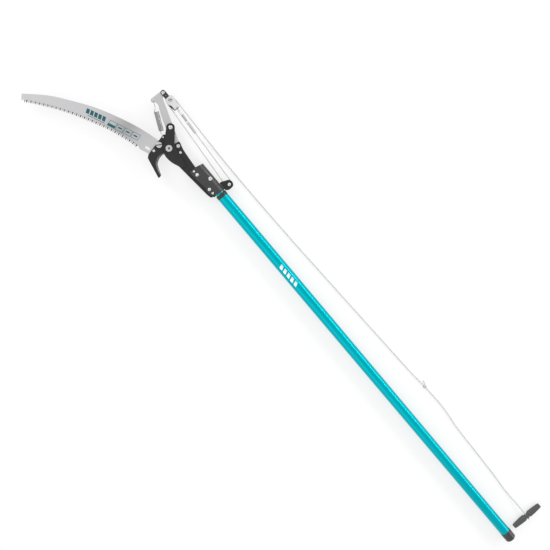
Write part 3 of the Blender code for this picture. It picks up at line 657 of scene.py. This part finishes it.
def turned(profile, steps=48, hollow=False, where=Matrix()):
    """A turned solid from (radius, height) points about the local Z axis, then moved by a matrix."""
    bm = bmesh.new()
    verts = [bm.verts.new((r, 0, h)) for r, h in profile]
    pairs = list(zip(verts, verts[1:]))
    if hollow:
        pairs.append((verts[-1], verts[0]))
    edges = [bm.edges.new(pair) for pair in pairs]
    bmesh.ops.spin(bm, geom=verts + edges, axis=(0, 0, 1), cent=(0, 0, 0), angle=2 * math.pi,
                   steps=steps, use_merge=True)
    bmesh.ops.remove_doubles(bm, verts=bm.verts, dist=1e-4)
    bm.transform(where)
    return bm


def softened(profile, radius=0.5, hollow=False):
    """The profile with each of its corners cut twice, so that its edges catch the light."""
    points = [Vector(p) for p in profile]
    soft = []
    for i, here in enumerate(points):
        at_end = i in (0, len(points) - 1) and not hollow
        back = points[i - 1] - here
        ahead = points[(i + 1) % len(points)] - here
        if at_end or back.length < 1e-6 or ahead.length < 1e-6:
            soft.append(here)
            continue
        reach = min(radius, back.length * 0.45, ahead.length * 0.45)
        a, b = here + back.normalized() * reach, here + ahead.normalized() * reach
        soft += [a, a.lerp(b, 0.5).lerp(here, 0.4), b]
    return [tuple(p) for p in soft]


def tube(points, radius, sides=10, bm=None):
    """A round tube along the points, with a UV map in metres along it and turns around it."""
    bm = bm or bmesh.new()
    uv = bm.loops.layers.uv.get("UVMap") or bm.loops.layers.uv.new("UVMap")
    side = (points[1] - points[0]).orthogonal().normalized()
    rings, run = [], [0.0]
    for i, here in enumerate(points):
        ahead = points[min(i + 1, len(points) - 1)] - points[max(i - 1, 0)]
        ahead.normalize()
        side = (side - ahead * side.dot(ahead)).normalized()
        other = ahead.cross(side)
        turns = [2 * math.pi * k / sides for k in range(sides)]
        rings.append([bm.verts.new(here + (side * math.cos(t) + other * math.sin(t)) * radius)
                      for t in turns])
        if i:
            run.append(run[-1] + (here - points[i - 1]).length * MM)
    for i, (lower, upper) in enumerate(zip(rings, rings[1:])):
        for k in range(sides):
            j = (k + 1) % sides
            face = bm.faces.new((lower[k], lower[j], upper[j], upper[k]))
            corners = ((run[i], k), (run[i], k + 1), (run[i + 1], k + 1), (run[i + 1], k))
            for loop, (u, v) in zip(face.loops, corners):
                loop[uv].uv = (u, v / sides)
    bm.faces.new(rings[0][::-1])
    bm.faces.new(rings[-1])
    return bm


# ---------------------------------------------------------------- rope

def trefoil(parts):
    """Points round a knot about the Z axis, of radius 1 to 3."""
    points = []
    for k in range(parts):
        t = 2 * math.pi * k / parts
        reach = 2 + math.cos(3 * t)
        points.append((reach * math.cos(2 * t), reach * math.sin(2 * t), math.sin(3 * t)))
    return points


def build_pull_rope(look):
    """The pull rope, all of which shows: off the top sheave, along the ground and into the T-handle."""
    route = spaced(curve_through(PULL_ROUTE, 10), 3.0)
    rope = solid("pull_rope_braid", tube(route, ROPE_R, 12), None, [look], sharp=60)
    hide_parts("pull_rope")
    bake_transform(rope)

    knot = tube([KNOT + Vector(p) * KNOT_SIZE for p in trefoil(72)], 1.5, 8)
    tail = [KNOT + Vector(p) for p in ((-3, 2, 0), (-6, 4.5, -0.6), (-11, 6.6, -1.3), (-16, 7.4, -1.4))]
    tube(spaced(curve_through(tail, 4), 2.5), 1.5, 8, knot)
    knot = solid("rope_knot", knot, "haul", [look], sharp=60)


def arc(centre, radius, start, stop, z, count):
    turns = [math.radians(start + (stop - start) * k / count) for k in range(count + 1)]
    return [flat(p, z) for p in round_at(centre, radius, turns)]


def build_tackle(look, sleeve_looks):
    """The rope between the blocks. Its two lines, which shorten as the blocks come together, each get a mesh
    of their own.
    """
    lower = arc(LOWER_SHEAVE, LOWER_ROPE_R, 86, -94.5, LOWER_PLANE_Z, 36)
    becket_end = flat(BECKET, TOP_PLANE_Z) + Vector((2.3, 0, 0))
    top_end = flat(TOP_SHEAVE, TOP_PLANE_Z) + Vector((0.2, -TOP_ROPE_R, 0))
    turn = solid("tackle_turn_lower", tube(lower, ROPE_R, 12), "head", [look], sharp=60)
    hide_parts("tackle_rope")
    for name, far, near in (("tackle_line_fixed", becket_end, lower[0]),
                            ("tackle_line_running", top_end, lower[-1])):
        line = solid(name, tube(spaced([near, far], 4), ROPE_R, 12), "tackle", [look], sharp=60)
        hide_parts("tackle_rope")
        shorten(line)
    over = arc(TOP_SHEAVE, TOP_ROPE_R, 270, 90, TOP_PLANE_Z, 36)
    solid("tackle_turn_top", tube(over, ROPE_R, 12), "block", [look], ("rope_top_turn",), 60)

    along = (lower[0] - becket_end).normalized()
    aim = Vector((0, 0, 1)).rotation_difference(along).to_matrix().to_4x4()
    near, far = SLEEVE_SPAN
    bore_r = ROPE_R + 0.15
    profile = softened([(bore_r, near), (SLEEVE_R, near), (SLEEVE_R, far), (bore_r, far)], 0.6, True)
    edges = [z + step for z in SLEEVE_TICKS for step in (0.0, SLEEVE_TICK_LENGTH)] + [SLEEVE_DULL_FROM]
    shoulder = next(i for i, (_, z) in enumerate(profile) if z > sum(SLEEVE_SPAN) / 2)
    profile[shoulder:shoulder] = [(SLEEVE_R, z) for z in edges]
    bm = turned(profile, 32, True, Matrix.Translation(becket_end) @ aim)
    for face in bm.faces:
        reach = (face.calc_center_median() - becket_end).dot(along)
        above = face.calc_center_median().z - (becket_end + along * reach).z
        marked = above > 1.5 and any(z < reach < z + SLEEVE_TICK_LENGTH for z in SLEEVE_TICKS)
        face.material_index = 1 if marked else 2 * (reach > SLEEVE_DULL_FROM)
    sleeve = solid("rope_sleeve_tube", bm, "tackle", sleeve_looks, ("rope_sleeve",))
    shorten(sleeve)


def shorten(piece):
    """Gives a piece of a line a mesh of its own."""
    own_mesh(piece)


# ---------------------------------------------------------------- spring

def build_spring(look):
    """One wire: a hook through the hook plate, a close coil, and a long hook through the lever."""
    along = SPRING_ON_LEVER - SPRING_ON_PLATE
    length = along.length
    turn = Matrix.Rotation(math.atan2(along.y, along.x), 4, "Z")
    where = Matrix.Translation(flat(SPRING_ON_PLATE, SPRING_Z)) @ turn
    hook = [(0, 0, -4.6), (0.1, 0, -1), (0.0, 0, 1.8), (0.9, 0, 3.2), (2.8, 0, 3.6), (7.0, 0.6, 4.0),
            (11.5, 2.4, 4.6)]
    per_turn = 20
    coil = []
    for k in range(COIL_TURNS * per_turn + 1):
        angle = 2 * math.pi * k / per_turn + math.radians(60)
        x = COIL_FROM + (COIL_TO - COIL_FROM) * k / (COIL_TURNS * per_turn)
        coil.append((x, SPRING_R * math.cos(angle), SPRING_R * math.sin(angle)))
    top = COIL_TO
    far = [(top + 2.6, 4.4, 3.0), (top + 5.5, 2.2, 2.2), (top + 9.5, 0.4, 0.9), (length - 10.0, 0, 0.6),
           (length - 5.0, 0, 0.7), (length - 1.4, 0, 0.4), (length - 0.2, 0, -0.9), (length, 0, -3.0),
           (length, 0, -6.4)]
    start = curve_through(hook + coil[:1], 5)[:-1]
    finish = curve_through(coil[-1:] + far, 5)[1:]
    points = [where @ Vector(p) for p in start + [Vector(p) for p in coil] + finish]
    wire = tube(points, SPRING_WIRE_R, 8)
    spring = solid("return_spring_wire", wire, None, [look], sharp=70)
    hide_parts("return_spring", "spring_hook")
    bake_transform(spring)


# ---------------------------------------------------------------- plates of the head

def build_hook_plate(black, ground):
    outline = rounded([
        (-220.6, -9.8, 5.5), (-205.0, -77.5, 13), (-199.0, -84.0, 4), (-142.6, -96.6, 2.2),
        (-144.2, -86.2, 4.0, 2.6), (-160.9, -80.2, 14, 4.6), (-173.2, -74.0, 10, 5.2),
        (-180.0, -62.0, 14, 5.2), (-182.2, -47.0, 3.2, 3.2), (-172.5, -43.8, 6), (-151.0, -43.2, 20),
        (-132.3, -37.0, 16), (-31.1, -28.9, 10), (-18.0, -26.0, 3), (-15.4, -11.0, 2), (-15.4, -6.0, 1.5),
        (-101.0, -6.0, 3), (-130.0, -3.4, 20), (-158.0, -0.4, 20), (-180.4, 6.2, 3.5), (-184.4, -12.6, 9),
    ])
    low, high = PLATE_Z[0] - 1, PLATE_Z[1] + 1
    bm = carve(plate(outline, *PLATE_Z), drills([(SPRING_ON_PLATE, 2.0, low, high)]),
               drills([(LEVER_PIVOT, 5.3, PLATE_Z[1] - 1.4, high)]))
    solid("hook_plate_body", bm, "head", [black, ground], ("hook_plate",), 20)


def build_cutting_blade(black):
    """The bypass blade; its bevel is coated like the rest of it."""
    to_tail = (TAIL_PIN - BLADE_PIVOT).normalized()
    side = Vector((-to_tail.y, to_tail.x))
    end_r, root_half = 10.3, 13.2
    end = TAIL_PIN + to_tail * end_r
    root = BLADE_PIVOT + to_tail * 12
    outline = rounded([
        (*(end + side * end_r), end_r), (*(root + side * root_half), 6),
        (-196.0, -37.0, 12), (-174.5, -46.8, 2.5, 3.0), (-163.9, -46.6, 18, 7.5), (-151.0, -44.4, 20, 8.0),
        (-135.0, -38.2, 20, 7.0), (-117.6, -22.4, 1.0, 0.8), (-138.0, -17.6, 30), (-166.0, -14.6, 10),
        (*(root - side * root_half), 12), (*(end - side * end_r), end_r),
    ])
    solid("cutting_blade_body", plate(outline, *BLADE_Z), "blade", [black, black],
          ("cutting_blade",), 20)


def slot_outline(half, count=16):
    """The slot that the tail pin runs in, so that the blade turns in proportion to the lever."""
    arm = TAIL_PIN - BLADE_PIVOT
    path = []
    for k in range(count + 1):
        share = k / count
        pin = BLADE_PIVOT + Matrix.Rotation(-BLADE_TRAVEL * share, 2) @ arm
        path.append(LEVER_PIVOT + Matrix.Rotation(LEVER_TRAVEL * share, 2) @ (pin - LEVER_PIVOT))
    outline = []
    for row in (path, path[::-1]):
        for a, b in zip(row, row[1:]):
            outline.append((a + b) / 2 + (b - a).normalized().orthogonal() * half)
        across = (row[-1] - row[-2]).normalized().orthogonal() * half
        outline += [row[-1] + Matrix.Rotation(-math.pi * k / 12, 2) @ across for k in range(13)]
    return outline


def build_lever(look):
    outline = rounded([
        (-304.6, 60.2, 6.3), (-291.8, 60.2, 6.3), (-291.6, 44.9, 4), (-183.0, 5.2, 12), (-166.5, 0.6, 5),
        (-163.0, -14.0, 8), (-186.0, -14.6, 12), (-262.0, 14.0, 30), (-283.0, 24.0, 9),
        (-294.0, 24.0, 5), (-296.5, 16.2, 3), (-306.8, 15.8, 5.5),
    ])
    low, high = LEVER_Z[0] - 1, LEVER_Z[1] + 1
    bm = carve(plate(outline, *LEVER_Z), prism(slot_outline(TAIL_PIN_R + 0.4), low, high),
               drills([(SPRING_ON_LEVER, 2.0, low, high)]))
    solid("lever_body", bm, "lever", [look, look], ("lever_arm",), 20)


def build_saw(look, ground):
    """The pruning saw: a curved back, and teeth that are wedges set against its inner edge, painted shaded
    and lit by turns.
    """
    back = curve_through([(-517.8, -218.0), (-473.0, -171.0), (-426.0, -134.3), (-375.8, -100.2),
                          (-319.6, -71.0), (-270.4, -50.2), (-220.6, -34.5)], 8)
    line = curve_through([(-239.0, -87.0), (-260.2, -92.3), (-311.4, -110.2), (-357.6, -132.3),
                          (-402.4, -156.6), (-442.4, -182.5), (-481.1, -211.6), (-504.0, -231.6)], 8)
    tang = rounded([(-220.6, -34.5, 0), (-193.0, -30.5, 9), (-191.0, -71.0, 8), (-208.5, -75.8, 4),
                    (-229.0, -84.2, 6), (-239.0, -87.0, 0)])[1:-1]
    tips = spaced(line, TOOTH_PITCH)
    seats = []
    for a, b in zip(tips, tips[1:]):
        along = (b - a).normalized()
        seats.append((a, b, Vector((along.y, -along.x))))
    edge = [(a + into * TOOTH_DEPTH, 0.0) for a, _, into in seats]
    a, b, into = seats.pop()
    edge.append((a.lerp(b, 0.55) + into * TOOTH_DEPTH, 0.0))
    end = rounded([(*edge[-1][0], 0), (*tips[-1], 0.8), (*back[0], 2.4), (*back[3], 0)])[1:-1]
    bm = plate([(p, 0.0) for p in back[1:]] + tang + edge + end, *SAW_Z, 0.22)
    across = Matrix.Rotation(math.radians(17), 2)
    slot = [Vector((-218.8, -67.8)) + across @ p for p in oblong(-6.5, -3.2, 6.5, 3.2, 1)]
    bm = carve(bm, prism(slot, SAW_Z[0] - 1, SAW_Z[1] + 1))
    # Alternate teeth take the shaded and the lit steel: painted shade and painted light for bevels ground on
    # opposite sides.
    for k, (a, b, into) in enumerate(seats):
        foot = into * (TOOTH_DEPTH + 0.4)
        reach = into * TOOTH_REACH
        left, right = (a.lerp(b, share) + foot for share in TOOTH_FEET)
        near, far = (a.lerp(b, share) - reach for share in TOOTH_TIP)
        tooth(bm, (left, near, far, right), 1 + k % 2)
    solid("saw_blade_body", bm, "head", [look, *ground], ("saw_blade",), 14)


def tooth(bm, shape, index):
    """One saw tooth from four corners, thinned towards its tip, in the look with this index."""
    middle = (SAW_Z[0] + SAW_Z[1]) / 2
    rows = []
    for side in (-1, 1):
        foot = middle + side * (middle - SAW_Z[0] - 0.1)
        edge = middle + side * TOOTH_EDGE
        rows.append([bm.verts.new(flat(p, z)) for p, z in zip(shape, (foot, edge, edge, foot))])
    faces = [bm.faces.new(row) for row in rows]
    for i in range(4):
        j = (i + 1) % 4
        faces.append(bm.faces.new((rows[0][i], rows[0][j], rows[1][j], rows[1][i])))
    for face in faces:
        face.material_index = index


def top_corner(further):
    """A cutter for the slanted corner at the top of the bracket and of the tube in it."""
    corner = ((-107.0, -6.0), (-104.2 + further, -6.0), (-98.8 + further, 17.5), (-107.0, 17.5))
    return prism(corner, -2, 40)


def build_bracket(look):
    """A sheet folded round the pole's top; the front leaf is trimmed to a rounded edge."""
    inner_r = (LEAF_Z[0] - BACK_LEAF_Z[1]) / 2
    outer_r = (LEAF_Z[1] - BACK_LEAF_Z[0]) / 2
    middle = (LEAF_Z[0] + BACK_LEAF_Z[1]) / 2
    arc_turns = [math.radians(90 - 5 * k) for k in range(37)]
    profile = [(-27.0, LEAF_Z[1])] + round_at((FOLD_Y, middle), outer_r, arc_turns)
    profile += [(-19.5, BACK_LEAF_Z[0]), (-19.5, BACK_LEAF_Z[1])]
    profile += round_at((FOLD_Y, middle), inner_r, reversed(arc_turns)) + [(-27.0, LEAF_Z[0])]
    bm = bmesh.new()
    extrude(bm, [(BRACKET_X[0], y, z) for y, z in profile], (BRACKET_X[1] - BRACKET_X[0], 0, 0))
    trim = rounded([
        (-112, -26.4, 0), (-88, -25.6, 8), (-47, -20.4, 5), (-40, -23.5, 5), (-25, -23.0, 6),
        (-17, -15.0, 4), (-12.6, 2.0, 0), (-8, 2.0, 0), (-8, -40, 0), (-112, -40, 0),
    ])
    bm = carve(bm, prism([p for p, _ in trim], LEAF_Z[0] - 1, LEAF_Z[1] + 1), top_corner(0.0))
    bracket = solid("tube_bracket_body", bm, "head", [look], ("tube_bracket",), 30)
    soften_edges(bracket, 0.35, 40)


# ---------------------------------------------------------------- fasteners

def middle_of(node):
    """(centre, radius, low, high) of an upright turned CAD node, in tool millimetres."""
    low, high = (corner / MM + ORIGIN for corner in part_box(node))
    return ((low + high) / 2).xy, (high.x - low.x) / 2, low.z, high.z


def cap_profile(radius, low, high, style):
    """Outline of a head from its rim to its top: a low dome, or a flat top with a soft rim."""
    if style == "dome":
        steps = 8
        return [(radius * math.cos(math.pi / 2 * k / steps),
                 low + (high - low) * math.sin(math.pi / 2 * k / steps)) for k in range(steps)] + [(0, high)]
    rim = 0.28 * (high - low)
    return [(radius, low), (radius, high - 2 * rim), (radius - 0.3 * rim, high - rim),
            (radius - rim, high - 0.3 * rim), (radius - 2 * rim, high), (0, high)]


def drive(style, centre, radius, top):
    """A cutter for the recess in a bolt's head; the recess takes the head's second material, a dark painted
    shade.
    """
    if style == "hex":
        cutter = prism(circle(centre, radius * 0.34, 6, 0.3), top - 1.6, top + 2)
    else:
        angle = Matrix.Rotation(math.radians(60), 2)
        long, short = radius * 1.4, radius * 0.15
        bar = oblong(-long, -short, long, short)
        cutter = prism([centre + angle @ p for p in bar], top - 1.3, top + 2)
    for face in cutter.faces:
        face.material_index = 1
    return cutter


def fastener(node, body, looks, shank_r, head, style="dome", recess=None, tail=0.0, tail_r=None,
             head_r=None):
    """A rivet or bolt that fills its CAD node's box, with a head and, if tail is given, a set end."""
    centre, radius, low, high = middle_of(node)
    head_r = head_r or radius
    profile = [(0, low)]
    if tail:
        tail_r = tail_r or radius
        profile += [(tail_r - 0.5, low), (tail_r, low + 0.5), (tail_r, low + tail), (shank_r, low + tail)]
    else:
        profile += [(shank_r - 0.4, low), (shank_r, low + 0.4)]
    profile += [(shank_r, high - head)] + cap_profile(head_r, high - head, high, style)
    bm = turned(profile, 40, where=Matrix.Translation(flat(centre)))
    if recess:
        bm = carve(bm, drive(recess, centre, head_r, high))
    solid(node + "_piece", bm, body, looks, (node,), 28)


def nut(node, look, shank_r):
    """A hexagon nut with chamfered corners, over the thread it is screwed on."""
    centre, radius, low, high = middle_of(node)
    bm = prism(circle(centre, radius, 6), low, high)
    crown = [(radius * 0.86, low - 1), (radius * 1.3, low - 1), (radius * 1.3, low + radius * 0.22)]
    bm = carve(bm, turned(crown, 40, True, Matrix.Translation(flat(centre))),
               drills([(centre, shank_r + 0.25, low - 2, high + 2)]))
    solid(node + "_piece", bm, "head", [look], (node,), 25)


def build_fasteners(bright, recess, zinc):
    bright = [bright, recess]
    fastener("pivot_bolt", "head", bright, 4.0, 3.4, "flat", "hex")
    fastener("saw_bolt", "head", bright, 3.5, 3.4, "flat", "slot")
    fastener("lever_rivet", "head", bright, 3.0, 1.4, "flat", tail=2.0, head_r=5.0)
    for node in ("plate_rivet", "saw_rivet"):
        fastener(node, "head", bright, 2.0, 1.6, tail=1.4)
    for node in ("leaf_rivet_upper", "leaf_rivet_lower"):
        fastener(node, "head", bright, 1.8, 1.5)
    for node in ("clamp_bolt_upper", "clamp_bolt_lower"):
        fastener(node, "head", bright, 2.0, 2.4)
    fastener("tube_bolt", "head", bright, 2.5, 2.8)
    fastener("tail_rivet", "blade", bright, 3.0, 1.8, tail=1.5)
    fastener("clevis_pin", "lever", bright, 2.5, 1.4, tail=1.3)
    fastener("block_screw", "block", bright, 3.0, 2.0, "flat", "slot", tail=1.6, tail_r=4.6)
    fastener("becket_pin", "block", bright, 1.6, 0.8, tail=0.8)
    fastener("shackle_rivet", "block", [zinc, recess], 0.8, 0.7, tail=0.7)
    fastener("lower_axle", "head", bright, 2.5, 1.8, tail=1.4)
    nut("pivot_nut", zinc, 4.0)
    nut("saw_nut", zinc, 3.5)


# ---------------------------------------------------------------- blocks

def build_sheave(node, centre, rope_r, half_width, bore_r, look):
    """A wheel with a rounded groove."""
    flange_r = rope_r + 0.8
    floor_r = rope_r - ROPE_R - 0.2
    groove = []
    steps = 10
    for k in range(steps + 1):
        t = math.pi * k / steps
        groove.append((rope_r - (rope_r - floor_r) * math.sin(t), -(half_width - 0.45) * math.cos(t)))
    profile = [(bore_r, -half_width), (flange_r - 0.2, -half_width), (flange_r, -half_width + 0.2)]
    profile += [(flange_r, groove[0][1])] + groove + [(flange_r, groove[-1][1])]
    profile += [(flange_r, half_width - 0.2), (flange_r - 0.2, half_width), (bore_r, half_width)]
    bm = turned(profile, 64, True, Matrix.Translation(centre))
    solid(node + "_wheel", bm, node, [look], (node,), 40)


def build_top_block(white, silver, black):
    low, high = TOP_PLANE_Z - 3.0, TOP_PLANE_Z + 3.0
    x, y = TOP_SHEAVE
    cheek = rounded([
        (x - 17.2, y - 4.4, 2.2), (x - 9.4, y - 4.4, 1.0), (x - 9.6, y - 10.9, 8.5), (x + 7.0, y - 10.9, 6),
        (x + 13.0, y - 7.4, 4), (x + 26.5, y - 7.0, 1.2), (x + 26.5, y + 7.4, 1.2), (x + 13.0, y + 7.8, 4),
        (x + 7.0, y + 10.9, 6), (x - 9.6, y + 10.9, 8.5), (x - 9.4, y + 1.4, 1.0), (x - 17.2, y + 1.4, 2.2),
    ])
    for node, bottom in (("block_cheek_back", low - 1.9), ("block_cheek_front", high + 0.3)):
        bm = plate(cheek, bottom, bottom + 1.6, 0.4)
        solid(node + "_plate", bm, "block", [silver, silver], (node,), 20)
    guard = rounded([(x + 8.6, y - 9.4, 0.5), (x + 22.6, y - 7.6, 0.5), (x + 22.6, y - 5.4, 0.5),
                     (x + 10.4, y - 6.6, 0.5)])
    bm = plate(guard, low - 0.3, high + 0.3, 0.3)
    rim = [(x + 8.0, y - 12.6), (x + 28.2, y - 8.6), (x + 28.2, y + 5.4), (x + 26.8, y + 5.4),
           (x + 26.8, y - 7.4), (x + 13.2, y - 7.8), (x + 9.5, y - 10.2)]
    prism(rim, high - 0.6, high + 2.0, bm)
    solid("block_guard", bm, "block", [black, black])
    build_sheave("top_sheave", flat(TOP_SHEAVE, TOP_PLANE_Z), TOP_ROPE_R, 2.7, 3.3, white)
    build_sheave("lower_sheave", flat(LOWER_SHEAVE, LOWER_PLANE_Z), LOWER_ROPE_R, 2.5, 2.8, white)

    body_end = TOP_SHEAVE.x - TOP_ROPE_R - ROPE_R - 0.3
    ears = rounded([(CLEVIS.x - 7.4, CLEVIS.y - 6.4, 6.2), (body_end, CLEVIS.y - 5.8, 1),
                    (body_end, CLEVIS.y + 6.8, 1), (CLEVIS.x - 7.4, CLEVIS.y + 6.8, 6.2)])
    mouth = oblong(CLEVIS.x - 9, CLEVIS.y - 9, CLEVIS.x + 7.4, CLEVIS.y + 9)
    bm = carve(plate(ears, low, high, 0.4), prism(mouth, LEVER_Z[0] - 0.3, LEVER_Z[1] + 0.3))
    for side in (47.9, 57.5):
        flank = oblong(-293.0, side, -283.6, side + 2.9, 0.8)
        for bottom, top in ((low - 1.8, low + 0.4), (high - 0.4, high + 1.8)):
            prism(flank, bottom, top, bm)
    bridge = oblong(-294.4, 48.2, -282.9, 60.2)
    prism(bridge, high + 2.0, high + 2.8, bm)
    solid("shackle_body", bm, "block", [black, black], ("shackle",), 25)


# ---------------------------------------------------------------- pole, collar and cap

def build_pole(marked, teal, black, grey):
    tube_r, bore_r, length = 15.0, 13.8, 1273.0
    seam, half, deep = 43.0, 0.9, 0.45
    outer = [(bore_r, 0.4), (bore_r + 0.4, 0), (tube_r - 0.4, 0), (tube_r, 0.4)]
    outer += [(tube_r, seam - half), (tube_r - deep, seam - 0.25), (tube_r - deep, seam + 0.25),
              (tube_r, seam + half)]
    outer += [(tube_r, length - 0.4), (tube_r - 0.4, length), (bore_r + 0.4, length), (bore_r, length - 0.4)]
    solid("outer_tube_shell", turned(outer, 96, True, ALONG_POLE), "pole", [marked],
          ("outer_tube",))

    top, foot, inner_r, inner_bore = -103.5, 1130.0, 12.3, 11.2
    inner = softened([(inner_bore, top), (inner_r, top), (inner_r, foot), (inner_bore, foot)], 0.3, True)
    inner = carve(turned(inner, 80, True, ALONG_POLE), top_corner(0.8))
    solid("inner_tube_shell", inner, "head", [teal], ("inner_tube",))

    collar = [(12.6, -9.8), (14.4, -9.8), (15.3, -8.6), (15.3, -6.6), (14.9, -6.2), (15.3, -5.8),
              (15.3, -3.8), (14.9, -3.4), (15.3, -3.0), (15.3, -0.3), (13.5, -0.3), (13.5, 39.0),
              (12.6, 39.0)]
    solid("top_collar_ring", turned(softened(collar, 0.3, True), 96, True, ALONG_POLE), "pole", [black],
          ("top_collar",))

    foot, cap_r, corner = length + 0.3, 15.6, 2.4
    end = foot + 29.5
    cap = [(0, length - 18), (12.5, length - 18), (13.5, length - 16), (13.5, foot), (cap_r - 0.2, foot),
           (cap_r, foot + 0.6)]
    cap += [(cap_r, end - corner)]
    cap += round_at((cap_r - corner, end - corner), corner, [math.radians(15 * k) for k in range(1, 6)])
    cap += [(cap_r - corner, end), (0, end)]
    cap = turned(cap, 96, where=ALONG_POLE)
    solid("end_cap_piece", cap, "pole", [grey], ("end_cap",), 30)


def build_handle(grey, rope):
    """The T-handle: two swelling grips with fine ribs either side of a narrow waist for the rope."""
    keys = [(0.0, 5.3), (0.8, 6.6), (2.4, 7.1), (12.0, 8.2), (26.0, 9.1), (36.0, 9.5), (40.5, 9.3),
            (42.2, 8.6), (43.4, 7.3), (46.5, 7.0), (49.25, 7.0)]
    half = []
    for (h0, r0), (h1, r1) in zip(keys, keys[1:]):
        steps = max(1, int((h1 - h0) / 0.35))
        for k in range(steps):
            half.append((h0 + (h1 - h0) * k / steps, r0 + (r1 - r0) * k / steps))
    ribbed = []
    for h, r in half:
        on_grip = 6.0 < h < 39.0
        dip = 0.13 * (0.5 - 0.5 * math.cos(2 * math.pi * (h - 6.0) / 3.0)) if on_grip else 0.0
        ribbed.append((r - dip, h))
    length = 2 * keys[-1][0]
    profile = [(0.0, 0.0)] + ribbed + [(r, length - h) for r, h in reversed(ribbed)] + [(0.0, length)]
    sideways = Matrix.Rotation(math.radians(-90), 4, "X")
    bm = turned(profile, 56, where=Matrix.Translation(HANDLE - Vector((0, length / 2, 0))) @ sideways)
    bore = turned([(0, -15), (2.4, -15), (2.4, 15), (0, 15)], 24,
                  where=Matrix.Translation(HANDLE) @ Matrix.Rotation(math.radians(90), 4, "Y"))
    solid("pull_handle_grip", carve(bm, bore), "handle", [grey], ("pull_handle",), 40)

    centre = HANDLE + Vector((11.3, 0, 0))
    loop = [centre + Vector((z * 1.2, x * 0.9, y * 0.9)) for x, y, z in trefoil(60)]
    knot = tube(loop, 1.45, 8)
    tail = [centre + Vector(p) for p in ((-2, 0, 0), (1, -1.5, 0.5), (4, -2, 0.2))]
    tube(spaced(curve_through(tail, 4), 1.5), 1.4, 8, knot)
    solid("handle_knot", knot, "handle", [rope], ("stop_knot",), 60)


def finish_cad(node, look):
    """A CAD node that stays: a better material, and softened edges."""
    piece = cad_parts[node]
    piece.data.materials.clear()
    piece.data.materials.append(look)
    weld = piece.modifiers.new("Weld", "WELD")
    weld.merge_threshold = 1e-6
    soften_edges(piece, 0.3, 35)


# ---------------------------------------------------------------- the whole tool

def main():
    place_camera()
    rope = rope_look("white_braid", (0.38, 0.38, 0.375), (0.68, 0.68, 0.675))
    # A lighter copy of the braid for the handle's knot: painted light.
    lit_knot_rope = rope_look("lit_knot_braid", (0.6, 0.6, 0.595), (0.85, 0.85, 0.845))
    build_pull_rope(rope)
    sleeve = plastic_look("white_sleeve", (0.6, 0.6, 0.595), (0.68, 0.68, 0.675), 0.4)
    sleeve_print = plastic_look("sleeve_print", (0.1, 0.1, 0.1), (0.16, 0.16, 0.16), 0.5)
    sleeve_end = plastic_look("sleeve_end", (0.42, 0.42, 0.415), (0.5, 0.5, 0.495), 0.5)
    build_tackle(rope, [sleeve, sleeve_print, sleeve_end])

    black = coat_look("black_coat", (0.012, 0.012, 0.0125), (0.02, 0.02, 0.021), 0.42)
    bracket = coat_look("bracket_coat", (0.022, 0.022, 0.023), (0.03, 0.03, 0.031), 0.32, 0.6)
    grip = plastic_look("grip_plastic", (0.05, 0.05, 0.051), (0.072, 0.072, 0.073), 0.3)
    cap = plastic_look("cap_plastic", (0.028, 0.028, 0.029), (0.04, 0.04, 0.041), 0.18, depth=0.000004)
    collar = plastic_look("collar_plastic", (0.016, 0.016, 0.017), (0.026, 0.026, 0.027), 0.34)
    white = plastic_look("white_nylon", (0.66, 0.66, 0.66), (0.72, 0.72, 0.72), 0.28, depth=0.00001)
    cheek = brushed_look("cheek_plate", (0.66, 0.66, 0.67), (0.74, 0.74, 0.75), 0.34, metallic=0.6).material
    nylon = plastic_look("lock_nylon", (0.75, 0.74, 0.70), (0.8, 0.79, 0.75), 0.45)
    bright = bright_look()
    zinc = brushed_look("zinc_plate", (0.6, 0.6, 0.61), (0.74, 0.75, 0.76), 0.32).material
    lever = brushed_look("lever_steel", (0.5, 0.5, 0.51), (0.58, 0.58, 0.59), 0.46, math.radians(20)).material
    wire = brushed_look("spring_wire", (0.3, 0.3, 0.31), (0.42, 0.42, 0.43), 0.34).material
    marked = marked_tube_look().material
    teal = tube_look().material

    lay_floor(floor_look())
    light_studio()
    build_spring(wire)
    build_hook_plate(black, ground_look())
    build_cutting_blade(black)
    build_lever(lever)
    # Shaded and lit copies of the teeth's steel, for alternate teeth: painted shade and painted light.
    shaded = brushed_look("teeth_shaded", (0.09, 0.09, 0.091), (0.14, 0.14, 0.142), 0.3, math.radians(65))
    lit = brushed_look("teeth_lit", (0.44, 0.44, 0.445), (0.52, 0.52, 0.525), 0.3, math.radians(65))
    build_saw(saw_look(), [shaded.material, lit.material])
    build_bracket(bracket)
    # The bolt heads' recesses take a dark plastic look: painted shade.
    build_fasteners(bright, plastic_look("recess_painted_shade", (0.05, 0.05, 0.05), (0.09, 0.09, 0.09), 0.5), zinc)
    build_top_block(white, cheek, collar)
    build_pole(marked, teal, collar, cap)
    build_handle(grip, lit_knot_rope)
    finish_cad("sheave_ear", black)
    finish_cad("lock_plug", cap)
    finish_cad("lock_collet", nylon)


main()
